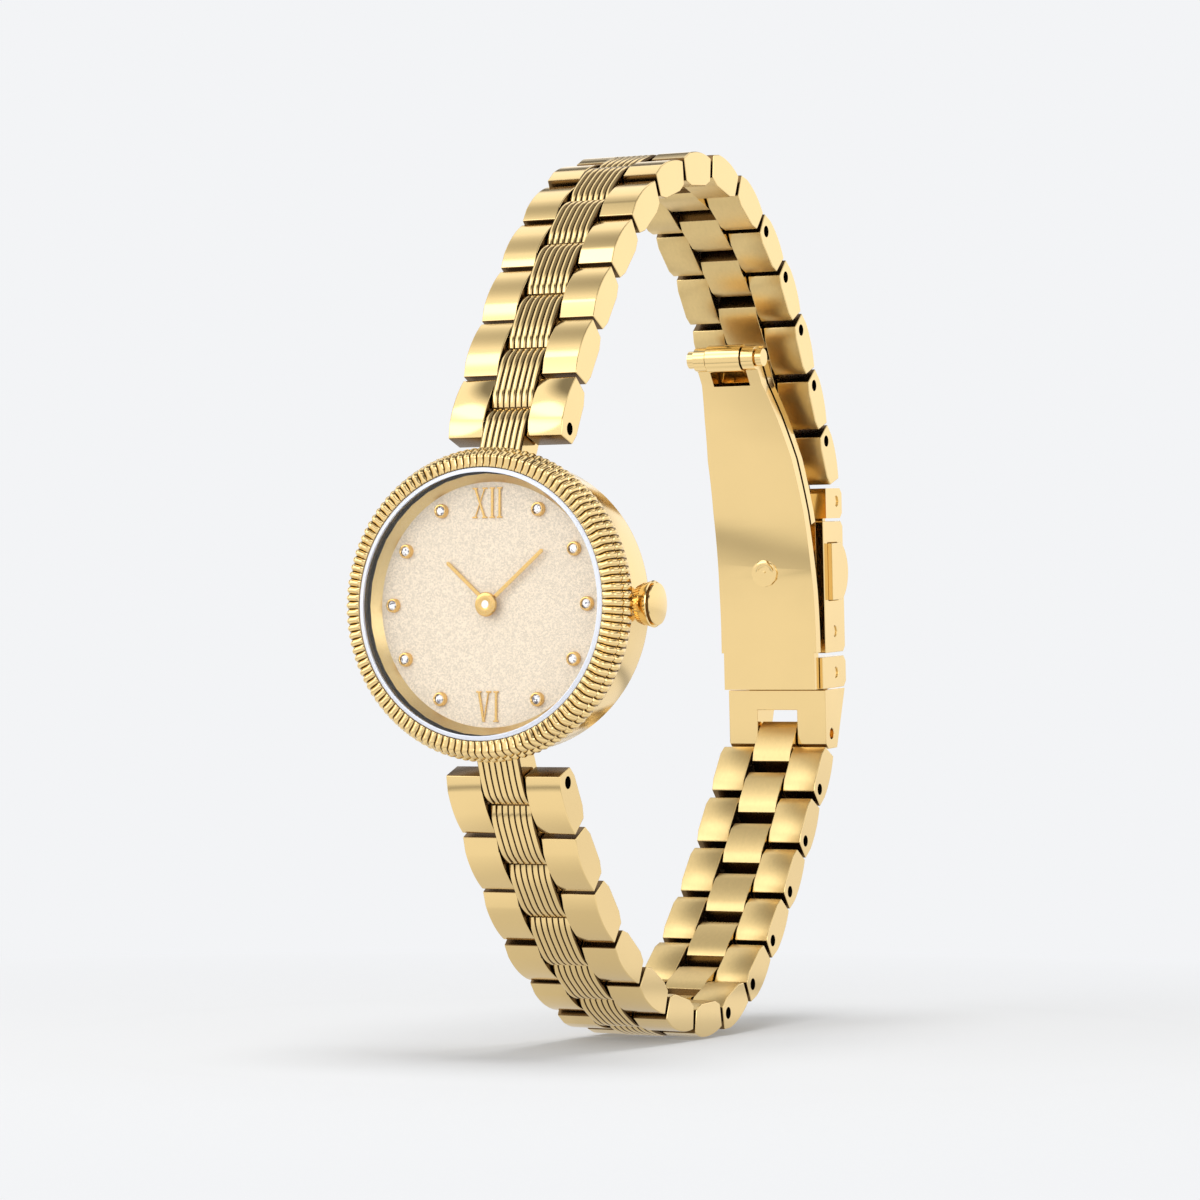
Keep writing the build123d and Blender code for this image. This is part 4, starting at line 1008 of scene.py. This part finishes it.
class WATCH_OT_dial(Operator):
    """Makes the stones and their cups"""

    bl_idname = "watch.dial"
    bl_label = "Dial"

    def execute(self, context):
        dial_y, reach = 0.45, 8.3
        hours, skip = 12, 6
        place = Matrix.Translation((0, 0, reach * MM))
        cup = mm([(0.37, dial_y - 0.12), (0.37, dial_y - 0.36), (0.41, dial_y - 0.4), (0.48, dial_y - 0.39),
                  (0.54, dial_y - 0.3), (0.56, dial_y)])
        one = lathe("cup", cup, "gold", 32, place, False)
        cups = ring_tree("cups", "deep gold").grow(one, "cups", Count=hours, Skip=skip)
        cups.transform(WATCH)
        piece("marker_cups_finished", cups, "case", ("marker_cups",))
        stone = self.stone(dial_y)
        stone.transform(place)
        stones = ring_tree("stones", "stone").grow(stone, "stones", Count=hours, Skip=skip)
        stones.transform(WATCH)
        for polygon in stones.polygons:
            polygon.use_smooth = False
        piece("marker_stones_finished", stones, "case", ("marker_stones",))
        return {"FINISHED"}

    def stone(self, dial_y):
        """A round brilliant: table, crown facets in two rows and a closed back."""
        verts, rings = [], []
        for radius, y, count, shift in (
            (0.19, dial_y - 0.36, 8, 0.5),
            (0.29, dial_y - 0.31, 8, 0.0),
            (0.36, dial_y - 0.22, 16, 0.0),
        ):
            rings.append(list(range(len(verts), len(verts) + count)))
            for i in range(count):
                angle = 2 * pi * (i + shift) / count
                verts.append((radius * sin(angle), y, radius * cos(angle)))
        table, star, girdle = rings
        faces = [tuple(table), tuple(reversed(girdle))]
        for i in range(8):
            j = (i + 1) % 8
            low, mid, high = girdle[2 * i], girdle[2 * i + 1], girdle[2 * j]
            faces += [
                (star[j], table[i], star[i]),
                (table[i], star[j], table[j]),
                (star[i], low, mid),
                (star[i], mid, star[j]),
                (star[j], mid, high),
            ]
        return mesh_from("stone", mm(verts), faces, ["stone"])


# Clasp, hands and numerals: the frame's own shapes with rounded edges, and what lies on them


class WATCH_OT_clasp(Operator):
    """Finishes the clasp's pieces and makes the dimple in its stud"""

    bl_idname = "watch.clasp"
    bl_label = "Clasp"

    def execute(self, context):
        dimple = mm([(AXIS, -0.12), (0.2, -0.1), (0.36, -0.03), (0.46, -0.02), (0.62, -0.07), (0.8, -0.1),
                     (0.98, -0.07), (1.14, 0.02), (1.2, 0.1), (1.2, 0.3)])
        reach, sink, lean = 14.3 * MM, 3.44 * MM, radians(9.2)
        place = clasp_matrix() @ Matrix.Translation((0, -sink, reach)) @ Matrix.Rotation(lean, 4, "X")
        boss = lathe("dimple", dimple, "gold", 64, place, False)
        piece("stud_dimple", boss, body_of_node["clasp_blade"])
        for node, edge in (
            ("clasp_foot", 0.12), ("clasp_cover", 0.12), ("clasp_lever", 0.1), ("clasp_blade", 0.1),
            ("pusher_right", 0.08), ("pusher_left", 0.08), ("clasp_base_pins", 0.05),
        ):
            mesh = finished_copy(node, edge * MM, "gold", angle=radians(50))
            piece(node + "_finished", mesh, body_of_node[node], (node,))
        return {"FINISHED"}


class WATCH_OT_hands(Operator):
    """Finishes the hands and the numerals, and makes the hands' hub and cap"""

    bl_idname = "watch.hands"
    bl_label = "Hands and numerals"

    def execute(self, context):
        edge = 0.03 * MM
        slim = Matrix.Scale(0.68, 4, (1, 0, 0))
        for node in ("hour_hand", "minute_hand", "dial_numerals"):
            mesh = finished_copy(node, edge, "deep gold", segments=2)
            if node == "dial_numerals":
                mesh.transform(WATCH @ slim @ WATCH.inverted())
            piece(node + "_finished", mesh, body_of_node[node], (node,))
        body = body_of_node["minute_hand"]
        ring = mm([(0.28, -0.34), (0.55, -0.38), (0.85, -0.33), (0.94, -0.2), (0.86, -0.1), (0.28, -0.1)])
        piece("hand_hub", lathe("hub", ring, "deep gold", 64), body)
        cap = mm([(AXIS, -0.41), (0.18, -0.4), (0.3, -0.35), (0.3, -0.2), (AXIS, -0.2)])
        piece("hand_cap", lathe("cap", cap, "white", 48), body)
        return {"FINISHED"}


class WATCH_OT_finishes(Operator):
    """Gives the frame's remaining nodes their materials"""

    bl_idname = "watch.finishes"
    bl_label = "Finishes"

    def execute(self, context):
        plain = {
            "dial": ("dial",),
            "satin": ("flange_ring", "cannon_pinion", "minute_wheel", "hour_wheel"),
            "gasket": ("crystal_gasket", "back_seal"),
            "plastic": ("movement_ring",),
            "copper": ("drive_coil",),
            "steel": ("main_plate", "battery", "rotor", "train_bridge", "crown_tube", "stem",
                      "setting_lever"),
        }
        for finish, nodes in plain.items():
            for node in nodes:
                mesh = frame["nodes"][node].data
                mesh.materials.clear()
                mesh.materials.append(material(finish))
        return {"FINISHED"}


# Stage

# The studio's light from straight below to straight above, as the metal mirrors it
STUDIO_BANDS = [(0.0, 0.5), (0.49, 1.0), (0.55, 1.2), (0.68, 1.2), (0.74, 0.45), (0.77, 0.12), (0.8, 0.15),
                (0.84, 1.3), (0.92, 1.2), (0.96, 0.25), (1.0, 0.3)]


class WATCH_OT_stage(Operator):
    """Makes the floor, the backdrop, the lamps and the camera"""

    bl_idname = "watch.stage"
    bl_label = "Stage"

    def execute(self, context):
        stage = context.scene.watch_stage
        finish = context.scene.watch_finish
        self.floor(finish)
        self.world(finish)
        self.lamps()
        self.camera(stage)
        context.scene.view_settings.view_transform = "Standard"
        return {"FINISHED"}

    def floor(self, finish):
        reach, sunk = 3.0, 0.2 * MM
        corners = [(-reach, -reach, 0), (reach, -reach, 0), (reach, reach, 0), (-reach, reach, 0)]
        mesh = bpy.data.meshes.new("floor")
        mesh.from_pydata(corners, [], [(0, 1, 2, 3)])
        mesh.materials.append(backdrop_paint(finish))
        ground = bpy.data.objects.new("floor", mesh)
        ground.location.z = -sunk
        bpy.context.scene.collection.objects.link(ground)

    def world(self, finish):
        """A pale studio: even for the camera, and banded with soft dark for the metal."""
        world = bpy.data.worlds.new("studio")
        bpy.context.scene.world = world
        shade = Shade(world)
        direction = shade.node("ShaderNodeTexCoord", output="Generated")
        height = shade.node("ShaderNodeSeparateXYZ", [direction], output="Z")
        bands = shade.ramp(height * 0.5 + 0.5, tinted(STUDIO_BANDS, (1.0, 0.985, 0.96)))
        around = shade.glow(bands, "ShaderNodeBackground")
        seen = shade.glow(rgba(finish.backdrop), "ShaderNodeBackground")
        pick = shade.node("ShaderNodeMixShader", [shade.ray("Is Camera Ray"), around, seen])
        shade.finish(pick, "ShaderNodeOutputWorld")

    def lamps(self):
        """Round soft lamps that face the watch. The metal mirrors only the key and the fill."""
        middle = (cad_low + cad_high) / 2
        for name, place, size, power, mirrored_too in (
            ("key", (-0.30, -0.40, 0.30), 0.5, 0.8, True),
            ("fill", (0.50, -0.25, 0.15), 0.3, 0.35, True),
            ("top", (0.02, -0.02, 0.5), 0.3, 3.0, False),
            ("front", (-0.10, -0.60, 0.10), 0.8, 3.2, False),
        ):
            lamp = bpy.data.lights.new(name, "AREA")
            lamp.shape = "DISK"
            lamp.size = size
            lamp.energy = power
            made = bpy.data.objects.new(name, lamp)
            made.location = Vector(place) + middle
            made.rotation_euler = Vector(place).to_track_quat("Z", "Y").to_euler()
            made.visible_glossy = mirrored_too
            bpy.context.scene.collection.objects.link(made)

    def camera(self, stage):
        turn, lift = stage.azimuth, stage.elevation
        right = Vector((cos(turn), sin(turn), 0))
        away = Vector((sin(turn) * cos(lift), -cos(turn) * cos(lift), sin(lift)))
        up = away.cross(right).normalized()
        right, up = (right * cos(stage.roll) + up * sin(stage.roll),
                     up * cos(stage.roll) - right * sin(stage.roll))
        eye = (pivot("minute_hand_turn") + right * stage.aim_right + up * stage.aim_up
               + away * stage.distance)
        data = bpy.data.cameras.new("camera")
        data.lens = stage.lens
        data.sensor_width = 36
        data.clip_start = 0.01
        data.clip_end = 20
        made = bpy.data.objects.new("camera", data)
        made.matrix_world = Matrix.Translation(eye) @ Matrix((right, up, away)).transposed().to_4x4()
        bpy.context.scene.collection.objects.link(made)
        bpy.context.scene.camera = made


class WATCH_PT_panel(Panel):
    bl_label = "Watch"
    bl_space_type = "VIEW_3D"
    bl_region_type = "UI"
    bl_category = "Watch"

    def draw(self, context):
        for operator in operators:
            self.layout.operator(operator.bl_idname)
        for group in groups:
            settings = getattr(context.scene, group)
            box = self.layout.box()
            for name in settings.bl_rna.properties.keys():
                if name not in ("rna_type", "name"):
                    box.prop(settings, name)


groups = {
    "watch_links": LinkSettings,
    "watch_case": CaseSettings,
    "watch_finish": FinishSettings,
    "watch_stage": StageSettings,
}
operators = (WATCH_OT_links, WATCH_OT_case, WATCH_OT_dial, WATCH_OT_clasp, WATCH_OT_hands, WATCH_OT_finishes,
             WATCH_OT_stage)


def register():
    for made in (*groups.values(), *operators, WATCH_PT_panel):
        bpy.utils.register_class(made)
    for name, made in groups.items():
        setattr(bpy.types.Scene, name, PointerProperty(type=made))


def unregister():
    for name in groups:
        delattr(bpy.types.Scene, name)
    for made in (WATCH_PT_panel, *reversed(operators), *groups.values()):
        bpy.utils.unregister_class(made)


def main():
    register()
    make_materials(bpy.context.scene.watch_finish)
    bpy.ops.watch.links()
    bpy.ops.watch.case()
    bpy.ops.watch.dial()
    bpy.ops.watch.clasp()
    bpy.ops.watch.hands()
    bpy.ops.watch.finishes()
    bpy.ops.watch.stage()


if __name__ == "__main__":
    main()
